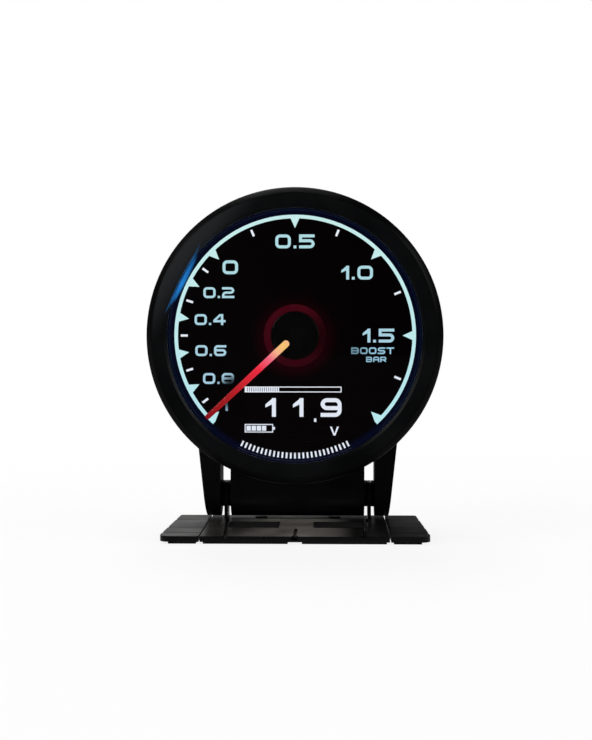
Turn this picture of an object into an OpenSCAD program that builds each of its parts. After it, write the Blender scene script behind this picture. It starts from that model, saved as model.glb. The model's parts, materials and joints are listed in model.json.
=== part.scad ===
// Boost gauge with a stepper driven needle, on a tilting dashboard stand.
// The dial faces -Y, +Z is up, and the origin is the centre of the base's underside.

/* [Gauge head] */
// Outside diameter of the bezel
bezel_d = 66; // [65:0.5:68]
// Depth of the bezel ring, front to back
bezel_depth = 9.5; // [8:0.5:12]
// Bevel round the bezel's front edge
bezel_bevel = 1.4; // [0.8:0.1:2]
// Diameter of the bezel's opening over the dial
window_d = 56.6; // [56:0.1:57]
// Thickness of the bezel's lip in front of the lens
lip_t = 1.2; // [1:0.1:1.6]
// Thickness of the lens
lens_t = 1.6; // [1.2:0.1:2]
// Thickness of the gasket behind the lens
gasket_t = 0.6; // [0.4:0.1:1]
// Outside diameter of the can
can_d = 60; // [59.5:0.1:60.5]
// Thickness of the can's wall
can_wall = 1.4; // [1.2:0.05:1.5]
// Depth of the whole gauge, bezel front to cover back
gauge_depth = 42.6; // [41.6:0.2:50]
// Thickness of the rear cover
cover_t = 2; // [1.6:0.1:2.4]

/* [Dial] */
// Space between the can's front edge and the dial, for the needle
spacer_t = 1.8; // [1.7:0.1:2.4]
// Thickness of the dial plate
dial_t = 1.2; // [0.8:0.1:1.6]
// Thickness of the light guide behind the dial
guide_t = 2.5; // [2:0.1:3]
// Outside radius of the lit scale ring
scale_r = 27.1; // [26.8:0.05:27.3]
// Width of the lit scale ring
scale_w = 0.8; // [0.7:0.05:1.2]
// Angle that the scale reaches to either side of the top, in degrees
half_sweep = 135; // [120:5:135]
// Height of the large numerals
numeral_h = 3.1; // [3:0.1:3.6]
// Height of the small numerals
small_numeral_h = 2.45; // [2.2:0.05:2.6]
// Width of the display's lit area
screen_w = 21.8; // [20:0.2:22]
// Height of the display's lit area
screen_h = 11; // [10:0.2:11.4]

/* [Needle] */
// Distance from the axis to the needle's tip
needle_reach = 27.2; // [25:0.1:27.4]
// Width of the needle at its inner end
needle_w = 1.6; // [1.2:0.1:1.8]
// Width of the needle at its tip
needle_tip_w = 1.15; // [0.8:0.05:1.2]
// Angle between the needle at rest and the top of the dial
needle_rest_angle = 133; // [0:1:135]
// Radius of the black disc that carries the needle
hub_r = 5.4; // [4.8:0.1:5.6]

/* [Movement] */
// Gear module, the pitch diameter for each tooth
gear_m = 0.25; // [0.24:0.005:0.26]
// Teeth of the output gear
output_teeth = 60; // [54:2:60]
// Teeth of the intermediate gear
middle_teeth = 48; // [44:2:48]
// Teeth of each pinion
pinion_teeth = 10; // [10:2:12]

/* [Stand] */
// Height of the gauge's axis above the surface under the base
axis_h = 46.4; // [45.5:0.1:50]
// Width of the base over both wings
base_w = 60.6; // [57:0.2:64]
// Depth of the base, front to back
base_depth = 36; // [34:0.5:40]
// Thickness of the base plate
plate_t = 1.3; // [1.2:0.1:2]
// Thickness of the adhesive pads
pad_t = 0.5; // [0.4:0.1:1]
// Distance from the middle of the base to each wing's fold
seam_x = 21.3; // [20.8:0.1:22]
// Height of the tilt axis above the base plate
pivot_rise = 5.85; // [5.6:0.05:6.4]
// Distance of the tilt axis behind the bezel's front
pivot_depth = 34; // [33:0.2:35]
// Width of the cradle's centre leg
leg_w = 32.4; // [31:0.2:32.8]
// Thickness of the band round the can
band_t = 2.35; // [2:0.05:2.6]
// Width of the band along the can
band_w = 10.6; // [10:0.2:11.4]
// Radius of the tilt axis screws
pivot_r = 1.5; // [1.25:0.05:1.6]

/* [Hidden] */
$fn = 96;

// Clearances and the overrun that cuts use
fit_gap = 0.06;
slip_gap = 0.2;
hinge_gap = 0.05;
overrun = 1;

// Radii of the gauge head
bezel_r = bezel_d / 2;
window_r = window_d / 2;
can_r = can_d / 2;
can_inner_r = can_r - can_wall;
dial_r = can_inner_r - slip_gap;

// Depths behind the bezel's front plane
lens_d0 = lip_t;
gasket_d0 = lens_d0 + lens_t;
can_d0 = gasket_d0 + gasket_t;
dial_d0 = can_d0 + spacer_t;
guide_d0 = dial_d0 + dial_t;
ledge_d0 = guide_d0 + guide_t;
ledge_t = 2;
ledge_w = 2.4;
boss_rise = 0.5;
board_t = 1.6;
board_d0 = ledge_d0 + ledge_t + boss_rise;
motor_d0 = board_d0 + board_t;
cover_d0 = gauge_depth - cover_t;
standoff_h = 4;
rear_board_d1 = cover_d0 - standoff_h;
rear_board_d0 = rear_board_d1 - board_t;

// Places of the stand
plate_top = pad_t + plate_t;
pivot_h = plate_top + pivot_rise;
pivot_inset = 3.4;
pivot_y = base_depth / 2 - pivot_inset;
front_y = pivot_y - pivot_depth;
foot_clear = 0.4;
foot_r = pivot_rise - foot_clear;

// Numeral strokes
stroke_share = 0.21;
bend_share = 0.24;
glyph_w_share = 1.12;
glyph_gap_share = 0.2;
dot_share = 0.2;
one_w_share = 0.56;
print_t = 0.15;

// Moves from the gauge's own frame, whose +Z looks out of the dial, into the part's frame
module in_gauge() {
    translate([0, front_y, axis_h]) rotate([90, 0, 0]) children();
}

// A flat shape as thick as the stretch between two depths behind the bezel's front
module slab(d0, d1) {
    in_gauge() translate([0, 0, -d1]) linear_extrude(d1 - d0) children();
}

// A side outline given in Y and Z, extruded along X
module along_x(x0, x1) {
    translate([x0, 0, 0]) rotate([90, 0, 90]) linear_extrude(x1 - x0) children();
}

// A front outline given in X and Z, extruded along Y
module along_y(y0, y1) {
    translate([0, y1, 0]) rotate([90, 0, 0]) linear_extrude(y1 - y0) children();
}

module up_from(z0, z1) {
    translate([0, 0, z0]) linear_extrude(z1 - z0) children();
}

module ring(r0, r1) {
    difference() {
        circle(r1);
        circle(r0);
    }
}

module rounded(w, h, r) {
    square([w - 2 * r, h], center = true);
    square([w, h - 2 * r], center = true);
    for (x = [-1, 1], y = [-1, 1])
        translate([x * (w / 2 - r), y * (h / 2 - r)]) circle(r);
}

// Copies at equal angles on a circle, clockwise from the top by the first angle
module around(count, r, first = 0) {
    for (i = [0 : count - 1])
        rotate(-first - i * 360 / count) translate([0, r]) children();
}

module both_sides() {
    children();
    mirror([1, 0, 0]) children();
}

// A round rod along X between two places
module x_rod(r, x0, x1, sides = $fn) {
    translate([x0, pivot_y, pivot_h]) rotate([0, 90, 0])
        cylinder(r = r, h = x1 - x0, $fn = sides);
}

// Base plate

slot_l = 10.2;
slot_w = 12;
hub_half_w = 4;
slot_y = 0.9;
seam_gap = 0.3;
line_w = 0.7;
line_depth = 0.5;
line_x_front = 15.5;
line_x_rear = 17.3;
notch_w = 1.6;
notch_l = 2.6;
front_seam_l = 12;
ear_t = 0.8;
washer_t = 0.75;
ear_half_w = 3.2;
strip_clear = 0.1;
rivet_x = 9;
rivet_r = 0.9;
rivet_head_r = 1.5;
rivet_head_t = 0.2;
leg_x = leg_w / 2;
ear_x0 = leg_x + washer_t + 2 * hinge_gap;
ear_x1 = ear_x0 + ear_t;
arm_x0 = ear_x1 + washer_t + 2 * hinge_gap;

module slot_shape(margin) {
    translate([hub_half_w - margin, slot_y - slot_l / 2 - margin])
        square([slot_w + 2 * margin, slot_l + 2 * margin]);
}

module strip_shape(margin) {
    translate([0, pivot_y])
        square([2 * (ear_x1 + margin), 2 * (ear_half_w + margin)], center = true);
}

// One long panel line, nearer the middle at the front than at the rear
module panel_line() {
    half_d = base_depth / 2;
    polygon([
        [line_x_front - line_w / 2, -half_d],
        [line_x_front + line_w / 2, -half_d],
        [line_x_rear + line_w / 2, half_d],
        [line_x_rear - line_w / 2, half_d]
    ]);
}

module base_plate() {
    half_x = seam_x - seam_gap / 2;
    half_d = base_depth / 2;
    color("#111214") difference() {
        up_from(pad_t, plate_top) square([2 * half_x, base_depth], center = true);
        both_sides() up_from(pad_t - overrun, plate_top + overrun) slot_shape(0);
        up_from(pad_t - overrun, plate_top + overrun)
            polygon([
                [-notch_w / 2, -half_d],
                [notch_w / 2, -half_d],
                [0, notch_l - half_d]
            ]);
        up_from(plate_top - line_depth, plate_top + overrun) {
            both_sides() panel_line();
            translate([-line_w / 2, -half_d]) square([line_w, front_seam_l]);
        }
        up_from(plate_top - ear_t, plate_top + overrun) strip_shape(strip_clear);
        for (x = [-rivet_x, rivet_x])
            translate([x, pivot_y, pad_t - overrun])
                cylinder(r = rivet_r + fit_gap, h = plate_t + 2 * overrun);
    }
}

// Base wings

wing_web_t = 0.6;
wing_groove_w = 0.5;
wing_corner_r = 0.8;
wing_front_r = 2.4;
wing_taper_share = 0.04;
wing_cut_shares = [-0.5, -0.339, -0.103, 0.267, 0.5];
wing_x0 = seam_x + seam_gap / 2;
wing_slant = atan(wing_taper_share * base_w / 2 / base_depth);

// How far a wing reaches out at a place along its depth, less towards the rear
function wing_reach(y) = base_w / 2 * (1 - wing_taper_share * (y / base_depth + 0.5));

// A tab from the fold outwards, with two rounded outer corners
module tab(y0, y1, r0, r1) {
    c0 = [wing_reach(y0 + r0) - r0 / cos(wing_slant), y0 + r0];
    c1 = [wing_reach(y1 - r1) - r1 / cos(wing_slant), y1 - r1];
    out = [cos(wing_slant), sin(wing_slant)];
    polygon([[wing_x0, y0], [c0.x, y0], c0, c0 + r0 * out, c1 + r1 * out, c1, [c1.x, y1], [wing_x0, y1]]);
    translate(c0) circle(r0);
    translate(c1) circle(r1);
}

module wing_tabs(inset) {
    last = len(wing_cut_shares) - 2;
    for (i = [0 : last]) {
        y0 = wing_cut_shares[i] * base_depth + (i > 0 ? inset / 2 : 0);
        y1 = wing_cut_shares[i + 1] * base_depth - (i < last ? inset / 2 : 0);
        tab(y0, y1, i > 0 ? wing_corner_r : wing_front_r, wing_corner_r);
    }
}

module wing() {
    color("#131416") {
        up_from(pad_t, pad_t + wing_web_t) wing_tabs(0);
        up_from(pad_t, plate_top) wing_tabs(wing_groove_w);
    }
}

module right_wing() {
    wing();
}

module left_wing() {
    mirror([1, 0, 0]) wing();
}

// Adhesive pads

pad_inset = 0.8;

module center_pad() {
    color("#1c1c1c") up_from(0, pad_t) difference() {
        square([2 * (seam_x - pad_inset), base_depth - 2 * pad_inset], center = true);
        both_sides() slot_shape(pad_inset);
        translate([0, pad_inset - base_depth / 2])
            square([2 * notch_w, 2 * notch_l], center = true);
    }
}

module wing_pad() {
    x0 = seam_x + pad_inset;
    x1 = wing_reach(base_depth / 2) - pad_inset;
    color("#1c1c1c") up_from(0, pad_t)
        translate([x0, pad_inset - base_depth / 2])
            square([x1 - x0, base_depth - 2 * pad_inset]);
}

module right_pad() {
    wing_pad();
}

module left_pad() {
    mirror([1, 0, 0]) wing_pad();
}

// Hinge bracket

module ear_outline(y0, r) {
    translate([pivot_y, pivot_h]) circle(r);
    translate([pivot_y - r, y0]) square([2 * r, pivot_h - y0]);
}

module hinge_bracket() {
    color("#1d1f22") difference() {
        union() {
            up_from(plate_top - ear_t, plate_top) strip_shape(0);
            both_sides() along_x(ear_x0, ear_x1)
                ear_outline(plate_top - ear_t, ear_half_w);
        }
        x_rod(pivot_r + fit_gap, -ear_x1 - overrun, ear_x1 + overrun);
        for (x = [-rivet_x, rivet_x])
            translate([x, pivot_y, plate_top - ear_t - overrun])
                cylinder(r = rivet_r + fit_gap, h = ear_t + 2 * overrun);
    }
}

module bracket_rivets() {
    color("#3a3d40") for (x = [-rivet_x, rivet_x])
        translate([x, pivot_y, 0]) {
            translate([0, 0, pad_t]) cylinder(r = rivet_r, h = plate_t);
            translate([0, 0, plate_top]) cylinder(r = rivet_head_r, h = rivet_head_t);
        }
}

// Cradle: band, centre leg and two arms

band_r0 = can_r + fit_gap;
band_r1 = band_r0 + band_t;
band_d0 = pivot_depth - foot_r + slip_gap;
band_d1 = band_d0 + band_w;
split_w = 3;
lug_t = 2.6;
lug_rise = 3.2;
lug_top = band_r1 + lug_rise;
lug_half_d = 3.6;
clamp_r = 1;
clamp_head_r = 1.7;
clamp_head_t = 1.4;
clamp_nut_r = 2;
clamp_nut_t = 1.6;
clamp_y = lug_top - clamp_head_r;
clamp_d = (band_d0 + band_d1) / 2;
arm_foot_t = 3.4;
arm_top_t = 6;
leg_top_drop = 26;
arm_top_drop = 20.5;
arm_foot_drop = axis_h - pivot_h + foot_r;
pivot_head_seat = 1.5;
head_seat_x = arm_x0 + pivot_head_seat;
pivot_head_r = 2.6;
pivot_head_t = 1.2;
pivot_hex_share = 0.8;
pivot_reach = 7;

module leg_side(top_drop) {
    translate([pivot_y, pivot_h]) circle(foot_r);
    translate([pivot_y - foot_r, pivot_h])
        square([2 * foot_r, axis_h - top_drop - pivot_h]);
}

module arm_front() {
    polygon([
        [arm_x0, axis_h - arm_foot_drop],
        [arm_x0 + arm_foot_t, axis_h - arm_foot_drop],
        [arm_x0 + arm_top_t, axis_h - arm_top_drop],
        [arm_x0, axis_h - arm_top_drop]
    ]);
}

module lugs() {
    for (side = [-1, 1])
        translate([side * (split_w + lug_t) / 2, (band_r0 + lug_top) / 2])
            square([lug_t, lug_top - band_r0], center = true);
}

module cradle() {
    color("#0e0f10") difference() {
        union() {
            slab(band_d0, band_d1) ring(band_r0, band_r1);
            slab(clamp_d - lug_half_d, clamp_d + lug_half_d) lugs();
            along_x(-leg_x, leg_x) leg_side(leg_top_drop);
            both_sides() intersection() {
                along_y(pivot_y - foot_r, pivot_y + foot_r) arm_front();
                along_x(arm_x0, arm_x0 + arm_top_t + overrun) leg_side(arm_top_drop);
            }
        }
        slab(0, gauge_depth) circle(band_r0);
        slab(0, gauge_depth) translate([-split_w / 2, 0]) square([split_w, bezel_r + lug_top]);
        in_gauge() translate([-split_w - lug_t, clamp_y, -clamp_d]) rotate([0, 90, 0])
            cylinder(r = clamp_r + fit_gap, h = 2 * (split_w + lug_t));
        both_sides() {
            x_rod(pivot_r + fit_gap, leg_x - pivot_reach, arm_x0 + arm_top_t);
            x_rod(pivot_head_r + slip_gap, head_seat_x, arm_x0 + 2 * arm_top_t);
        }
    }
}

module clamp_screw() {
    x1 = split_w / 2 + lug_t;
    color("#55585c") in_gauge() translate([0, clamp_y, -clamp_d]) rotate([0, 90, 0]) {
        difference() {
            translate([0, 0, x1]) cylinder(r = clamp_head_r, h = clamp_head_t);
            translate([0, 0, x1 + clamp_head_t / 2])
                cylinder(r = clamp_head_r / 2, h = clamp_head_t, $fn = 6);
        }
        translate([0, 0, -x1 - clamp_nut_t]) cylinder(r = clamp_r, h = 2 * x1 + clamp_nut_t);
    }
}

module clamp_nut() {
    x0 = split_w / 2 + lug_t + clamp_nut_t;
    color("#8d9196") in_gauge() translate([-x0, clamp_y, -clamp_d]) rotate([0, 90, 0])
        difference() {
            cylinder(r = clamp_nut_r, h = clamp_nut_t, $fn = 6);
            translate([0, 0, -overrun])
                cylinder(r = clamp_r + fit_gap, h = clamp_nut_t + 2 * overrun);
        }
}

module pivot_screws() {
    color("#3c3f43") both_sides() {
        difference() {
            x_rod(pivot_head_r, head_seat_x, head_seat_x + pivot_head_t);
            x_rod(
                pivot_r * pivot_hex_share,
                head_seat_x + pivot_head_t / 2,
                head_seat_x + 2 * pivot_head_t,
                6
            );
        }
        x_rod(pivot_r, leg_x - pivot_reach, head_seat_x);
    }
}

module pivot_washers() {
    color("#17181a") both_sides() for (x0 = [leg_x, ear_x1 + hinge_gap])
        difference() {
            x_rod(ear_half_w, x0 + hinge_gap, x0 + hinge_gap + washer_t);
            x_rod(pivot_r + fit_gap, x0 - overrun, x0 + washer_t + overrun);
        }
}

// Gauge shell

module bezel() {
    bore_r = can_r + fit_gap;
    lip_bevel = lip_t / 2;
    color("#1a1b1d") in_gauge() rotate_extrude() polygon([
        [window_r, -lip_t],
        [window_r, -lip_bevel],
        [window_r + lip_bevel, 0],
        [bezel_r - bezel_bevel, 0],
        [bezel_r, -bezel_bevel],
        [bezel_r, -bezel_depth],
        [bore_r, -bezel_depth],
        [bore_r, -lip_t]
    ]);
}

module front_lens() {
    color("#9fb0b8", 0.25) slab(lens_d0, gasket_d0) circle(can_r - slip_gap);
}

module lens_gasket() {
    color("#0a0a0a") slab(gasket_d0, can_d0) ring(spacer_r0 + slip_gap / 2, can_r - slip_gap);
}

spacer_lap = 0.4;
spacer_r0 = dial_r - spacer_lap;

module spacer_ring() {
    color("#0b0c12") slab(can_d0, dial_d0) ring(spacer_r0, can_inner_r - fit_gap);
}

boss_r = 1.9;
boss_inset = 3;
boss_place_r = can_inner_r - boss_inset;
boss_first = 30;
rib_r = 2.2;
rib_inset = 1.9;
rib_place_r = can_inner_r - rib_inset;
rib_l = 9;
pilot_r = 0.8;
cover_pilot_r = 1;
cover_screw_r = 1.25;
cover_head_r = 2.2;
cover_head_t = 1.1;

module rear_can() {
    color("#161719") difference() {
        union() {
            slab(can_d0, cover_d0) ring(can_inner_r, can_r);
            slab(ledge_d0, ledge_d0 + ledge_t) ring(can_inner_r - ledge_w, can_r - can_wall / 2);
            slab(ledge_d0, board_d0) around(3, boss_place_r, boss_first) circle(boss_r);
            slab(cover_d0 - rib_l, cover_d0) intersection() {
                around(3, rib_place_r) circle(rib_r);
                circle(can_r - can_wall / 2);
            }
        }
        slab(ledge_d0 + overrun, board_d0 + overrun)
            around(3, boss_place_r, boss_first) circle(pilot_r);
        slab(cover_d0 - rib_l + overrun, cover_d0 + overrun)
            around(3, rib_place_r) circle(cover_pilot_r);
    }
}

standoff_r = 1.8;
standoff_place_r = 20;
socket_y = -7;
socket_x = 9;
power_w = 13;
sensor_w = 10.5;
socket_h = 7.6;
socket_wall = 1;
socket_proud = 2.4;
socket_floor = 1.4;
pin_w = 0.64;
pin_pitch = 2;
pin_l = 2.6;
button_y = 10;
button_r = 2.4;
button_proud = 1.2;
flange_r = 3.2;
flange_t = 1;
switch_w = 6;
switch_t = 1.5;
plunger_r = 1.2;
button_travel = 0.6;

module rear_cover() {
    color("#141517") difference() {
        union() {
            slab(cover_d0, gauge_depth) circle(can_r);
            slab(rear_board_d1, cover_d0)
                around(4, standoff_place_r, boss_first) circle(standoff_r);
        }
        slab(cover_d0 - overrun, gauge_depth + overrun) {
            around(3, rib_place_r) circle(cover_screw_r + fit_gap);
            translate([-socket_x, socket_y])
                square([power_w + 2 * slip_gap, socket_h + 2 * slip_gap], center = true);
            translate([socket_x, socket_y])
                square([sensor_w + 2 * slip_gap, socket_h + 2 * slip_gap], center = true);
            translate([0, button_y]) circle(button_r + hinge_gap);
        }
        slab(gauge_depth - cover_head_t, gauge_depth + overrun)
            around(3, rib_place_r) circle(cover_head_r + slip_gap);
        slab(rear_board_d1 - overrun, cover_d0)
            around(4, standoff_place_r, boss_first) circle(pilot_r);
    }
}

module rear_cover_screws() {
    color("#7c8085") difference() {
        union() {
            slab(gauge_depth - cover_head_t, gauge_depth)
                around(3, rib_place_r) circle(cover_head_r);
            slab(cover_d0, gauge_depth - cover_head_t)
                around(3, rib_place_r) circle(cover_screw_r);
            slab(cover_d0 - rib_l + 2 * overrun, cover_d0)
                around(3, rib_place_r) circle(cover_pilot_r - fit_gap);
        }
        slab(gauge_depth - cover_head_t / 2, gauge_depth + overrun)
            around(3, rib_place_r) {
                square([cover_head_r, cover_screw_r / 2], center = true);
                square([cover_screw_r / 2, cover_head_r], center = true);
            }
    }
}

// Dial

screen_x = -0.45;
screen_y = -17;
window_margin = 0.7;
glass_w = 24.7;
glass_h = 16.6;
glass_t = 1.4;
glass_y = -16.3;
shaft_r = 0.75;
shaft_clear = 0.45;
hub_ring_gap = 0.1;
hub_ring_w = 1.5;
mark_w = 2;
mark_l = 2.2;
tick_r0 = 24.1;
tick_l = 1.55;
tick_w = 0.5;
arc_mark_r = 26.3;
arc_mark_l = 1.3;
arc_mark_w = 0.4;
arc_mark_step = 2;
arc_mark_count = 27;

// Each numeral with its angle share of the half sweep, its place as a share of scale_r, and its size
numeral_shares = [
    ["0.5", 0, 0.779, true],
    ["0", -0.322, 0.779, true],
    ["1.0", 0.331, 0.731, true],
    ["1.5", 0.667, 0.69, true],
    ["0.2", -0.449, 0.724, false],
    ["0.4", -0.588, 0.716, false],
    ["0.6", -0.742, 0.709, false],
    ["0.8", -0.884, 0.727, false],
    ["1", -0.999, 0.82, false]
];
mark_shares = [-1, -0.8667, -0.7333, -0.6, -0.4667, -0.3333, 0, 0.3333, 0.6667, 1];
tick_shares = [-0.9333, -0.8, -0.6667, -0.5333, -0.4, -0.1667, 0.1667, 0.5, 0.8333];

module dial_plate() {
    color("#050507") slab(dial_d0, guide_d0) difference() {
        circle(dial_r);
        circle(shaft_r + shaft_clear);
        translate([screen_x, screen_y])
            square([screen_w + 2 * window_margin, screen_h + 2 * window_margin], center = true);
    }
}

module on_dial() {
    slab(dial_d0 - print_t, dial_d0) children();
}

module dial_scale() {
    inner_r = scale_r - scale_w;
    end_angle = half_sweep + atan2(mark_w / 2, inner_r);
    far = 2 * scale_r;
    color("#a8f4f0") on_dial() {
        difference() {
            ring(inner_r, scale_r);
            polygon([
                [0, 0],
                [-far * sin(end_angle), far * cos(end_angle)],
                [-far * sin(end_angle), -far],
                [far * sin(end_angle), -far],
                [far * sin(end_angle), far * cos(end_angle)]
            ]);
        }
        for (share = mark_shares)
            rotate(-share * half_sweep) polygon([
                [0, inner_r - mark_l],
                [mark_w / 2, inner_r],
                [mark_w / 4, scale_r - scale_w / 2],
                [-mark_w / 4, scale_r - scale_w / 2],
                [-mark_w / 2, inner_r]
            ]);
    }
}

module dial_ticks() {
    color("#eef6ff") on_dial() {
        for (share = tick_shares)
            rotate(-share * half_sweep) translate([-tick_w / 2, tick_r0])
                square([tick_w, tick_l]);
        for (i = [0 : arc_mark_count - 1])
            rotate(180 + (i - (arc_mark_count - 1) / 2) * arc_mark_step)
                translate([-arc_mark_w / 2, arc_mark_r]) square([arc_mark_w, arc_mark_l]);
    }
}

// Glyphs drawn as strokes of one width with round bends

// Paths of each glyph in a unit box, each with whether it closes; a third figure squares a corner
function glyph_shares(ch) =
    ch == "0" || ch == "O" ? [[[[0, 0], [1, 0], [1, 1], [0, 1]], true]] :
    ch == "2" ? [[[[0, 1], [1, 1], [1, 0.5], [0, 0.5], [0, 0, 1], [1, 0]], false]] :
    ch == "5" ? [[[[1, 1], [0, 1, 1], [0, 0.56, 1], [1, 0.56], [1, 0], [0, 0]], false]] :
    ch == "S" ? [[[[1, 1], [0, 1], [0, 0.5], [1, 0.5], [1, 0], [0, 0]], false]] :
    ch == "6" ? [[[[1, 1], [0, 1], [0, 0], [1, 0], [1, 0.54], [0, 0.54]], false]] :
    ch == "8" ? [
        [[[0, 0], [1, 0], [1, 1], [0, 1]], true],
        [[[0, 0.5], [1, 0.5]], false]
    ] :
    ch == "B" ? [
        [[[0, 0, 1], [1, 0], [1, 1], [0, 1, 1]], true],
        [[[0, 0.5], [1, 0.5]], false]
    ] :
    ch == "9" ? [[[[0, 0], [1, 0], [1, 1], [0, 1], [0, 0.46], [1, 0.46]], false]] :
    ch == "T" ? [[[[0, 1], [1, 1]], false], [[[0.5, 0], [0.5, 1]], false]] :
    ch == "A" ? [
        [[[0, 0], [0, 1], [1, 1], [1, 0]], false],
        [[[0, 0.42], [1, 0.42]], false]
    ] :
    ch == "R" ? [
        [[[0, 0], [0, 1, 1], [1, 1], [1, 0.4], [0, 0.4]], false],
        [[[0.5, 0.4], [0.94, 0.06]], false]
    ] : [];

function heading(a, b) = (b - a) / norm(b - a);

module bar(a, b, w) {
    translate(a) rotate(atan2(b.y - a.y, b.x - a.x)) translate([0, -w / 2])
        square([norm(b - a), w]);
}

module bend(p, u, v, r, w) {
    c = p + r * (v - u);
    reach = r + w / 2;
    intersection() {
        translate(c) ring(r - w / 2, reach);
        polygon([c, c + reach * u, c + reach * (u - v), c - reach * v]);
    }
}

module stroke(points, squared, closed, w, r) {
    n = len(points);
    last = closed ? n - 1 : n - 2;
    for (i = [0 : last]) {
        a = points[i];
        b = points[(i + 1) % n];
        u = heading(a, b);
        trim_a = squared[i] || !(closed || i > 0) ? -w / 2 : r;
        trim_b = squared[(i + 1) % n] || !(closed || i < n - 2) ? -w / 2 : r;
        bar(a + trim_a * u, b - trim_b * u, w);
    }
    if (closed || n > 2)
        for (i = [closed ? 0 : 1 : last]) if (!squared[i]) {
            before = points[(i + n - 1) % n];
            p = points[i];
            after = points[(i + 1) % n];
            bend(p, heading(before, p), heading(p, after), r, w);
        }
}

// The numeral one: an upright with a slanting flag
module glyph_one(h, w) {
    x1 = one_w_share * h;
    translate([x1 - w, 0]) square([w, h]);
    polygon([[0, h - 2.4 * w], [x1 - w, h - 1.6 * w], [x1 - w, h - 0.2 * w], [0, h - 1.6 * w]]);
}

// The numeral four: an upright, a bar and a slanting stroke
module glyph_four(h, w) {
    full = glyph_w_share * h;
    bar_y = 1.2 * w;
    up_x = full - 2 * w;
    translate([up_x, 0]) square([w, h]);
    translate([0, bar_y]) square([full, w]);
    polygon([[1.3 * w, bar_y + w], [up_x, h - 0.7 * w], [up_x, h], [up_x - 0.6 * w, h], [0, bar_y + w]]);
}

// The letter V, as a unit sign
module glyph_vee(h, w) {
    full = h;
    polygon([
        [full / 2 - w / 2, 0],
        [full / 2 + w / 2, 0],
        [full, h],
        [full - w, h],
        [full / 2, w],
        [w, h],
        [0, h]
    ]);
}

module glyph(ch, h) {
    w = stroke_share * h;
    full = glyph_w_share * h;
    if (ch == "1") glyph_one(h, w);
    else if (ch == "4") glyph_four(h, w);
    else if (ch == "V") glyph_vee(h, w);
    else if (ch == ".") square(dot_share * h);
    else
        for (path = glyph_shares(ch)) {
            points = [for (p = path[0]) [w / 2 + p.x * (full - w), w / 2 + p.y * (h - w)]];
            squared = [for (p = path[0]) len(p) > 2];
            stroke(points, squared, path[1], w, bend_share * h);
        }
}

function glyph_width(ch, h) =
    ch == "." ? dot_share * h : ch == "1" ? one_w_share * h : ch == "V" ? h : glyph_w_share * h;

function advance_to(label, i, h) =
    i == 0 ? 0 : advance_to(label, i - 1, h) + glyph_width(label[i - 1], h) + glyph_gap_share * h;

// A row of glyphs centred on the origin
module row(label, h) {
    total = advance_to(label, len(label), h) - glyph_gap_share * h;
    for (i = [0 : len(label) - 1])
        translate([advance_to(label, i, h) - total / 2, -h / 2]) glyph(label[i], h);
}

module dial_numerals() {
    color("#b4f6f4") on_dial() for (item = numeral_shares) {
        angle = item[1] * half_sweep;
        r = item[2] * scale_r;
        translate([r * sin(angle), r * cos(angle)])
            row(item[0], item[3] ? numeral_h : small_numeral_h);
    }
}

legend_x = 17.4;
legend_y = -3.4;
legend_h = 1.5;
unit_x = 18.2;
unit_y = -5.35;
unit_h = 1.2;

module dial_legend() {
    color("#c8f2f8") on_dial() {
        translate([legend_x, legend_y]) row("BOOST", legend_h);
        translate([unit_x, unit_y]) row("BAR", unit_h);
    }
}

hub_ring_r0 = hub_r + hub_ring_gap;

module hub_ring() {
    color("#7a0014") on_dial() ring(hub_ring_r0, hub_ring_r0 + hub_ring_w);
}

module light_guide() {
    color("#dfe8ea", 0.5) slab(guide_d0, ledge_d0) difference() {
        circle(dial_r);
        circle(shaft_r + 2 * shaft_clear);
        translate([0, glass_y])
            square([glass_w + 2 * slip_gap, glass_h + 2 * slip_gap], center = true);
    }
}

module display_glass() {
    color("#030305") slab(guide_d0, guide_d0 + glass_t)
        translate([0, glass_y]) square([glass_w, glass_h], center = true);
}

digit_h = 4.2;
sign_h = 2;
sign_step_share = 1.3;
level_h = 1.3;
level_line = 0.2;
level_count = 16;
level_pitch = 0.48;
level_fill_share = 0.7;
battery_w = 6.4;
battery_h = 1.9;
battery_y = 0.66;
battery_cells = 4;
digit_pitch_share = 1.48;
point_x_share = 0.35;
point_w_share = 0.12;
point_h_share = 0.18;
point_drop_share = 0.27;

// A battery with some of its cells full
module battery_sign() {
    cell = (battery_w - 3 * level_line) / (battery_cells + 1);
    difference() {
        square([battery_w, battery_h]);
        translate([level_line, level_line])
            square([battery_w - 2 * level_line, battery_h - 2 * level_line]);
    }
    for (i = [0 : battery_cells - 1])
        translate([2 * level_line + i * cell, 2 * level_line])
            square([cell - level_line, battery_h - 4 * level_line]);
    translate([battery_w, battery_h / 3]) square([2 * level_line, battery_h / 3]);
}

// The picture that the display shows: a level bar, a reading, a battery sign and a unit
module picture_shape() {
    left = -screen_w / 2;
    right = screen_w / 2;
    top = screen_h / 2;
    translate([left, top - level_h]) {
        difference() {
            square([screen_w, level_h]);
            translate([level_line, level_line])
                square([screen_w - 2 * level_line, level_h - 2 * level_line]);
        }
        for (i = [0 : level_count - 1])
            translate([level_line + i * level_pitch, level_line / 2])
                square([level_pitch * level_fill_share, level_h - level_line]);
    }
    digit_y = top - 2 * level_h;
    nine_x = right - glyph_w_share * digit_h;
    for (i = [1, 2])
        translate([nine_x - i * digit_h * digit_pitch_share, digit_y - digit_h])
            glyph("1", digit_h);
    translate([nine_x, digit_y - digit_h]) glyph("9", digit_h);
    translate([nine_x - point_x_share * digit_h, digit_y - (1 + point_drop_share) * digit_h])
        square([point_w_share * digit_h, point_h_share * digit_h]);
    translate([left, battery_y - top]) battery_sign();
    translate([right - sign_h * sign_step_share, -top]) glyph("V", sign_h);
}

module display_picture() {
    color("#f4f8ff") slab(guide_d0 - print_t, guide_d0)
        translate([screen_x, screen_y]) picture_shape();
}

holder_w = 21;
holder_h = 14;
holder_wall = 1.6;

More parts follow.
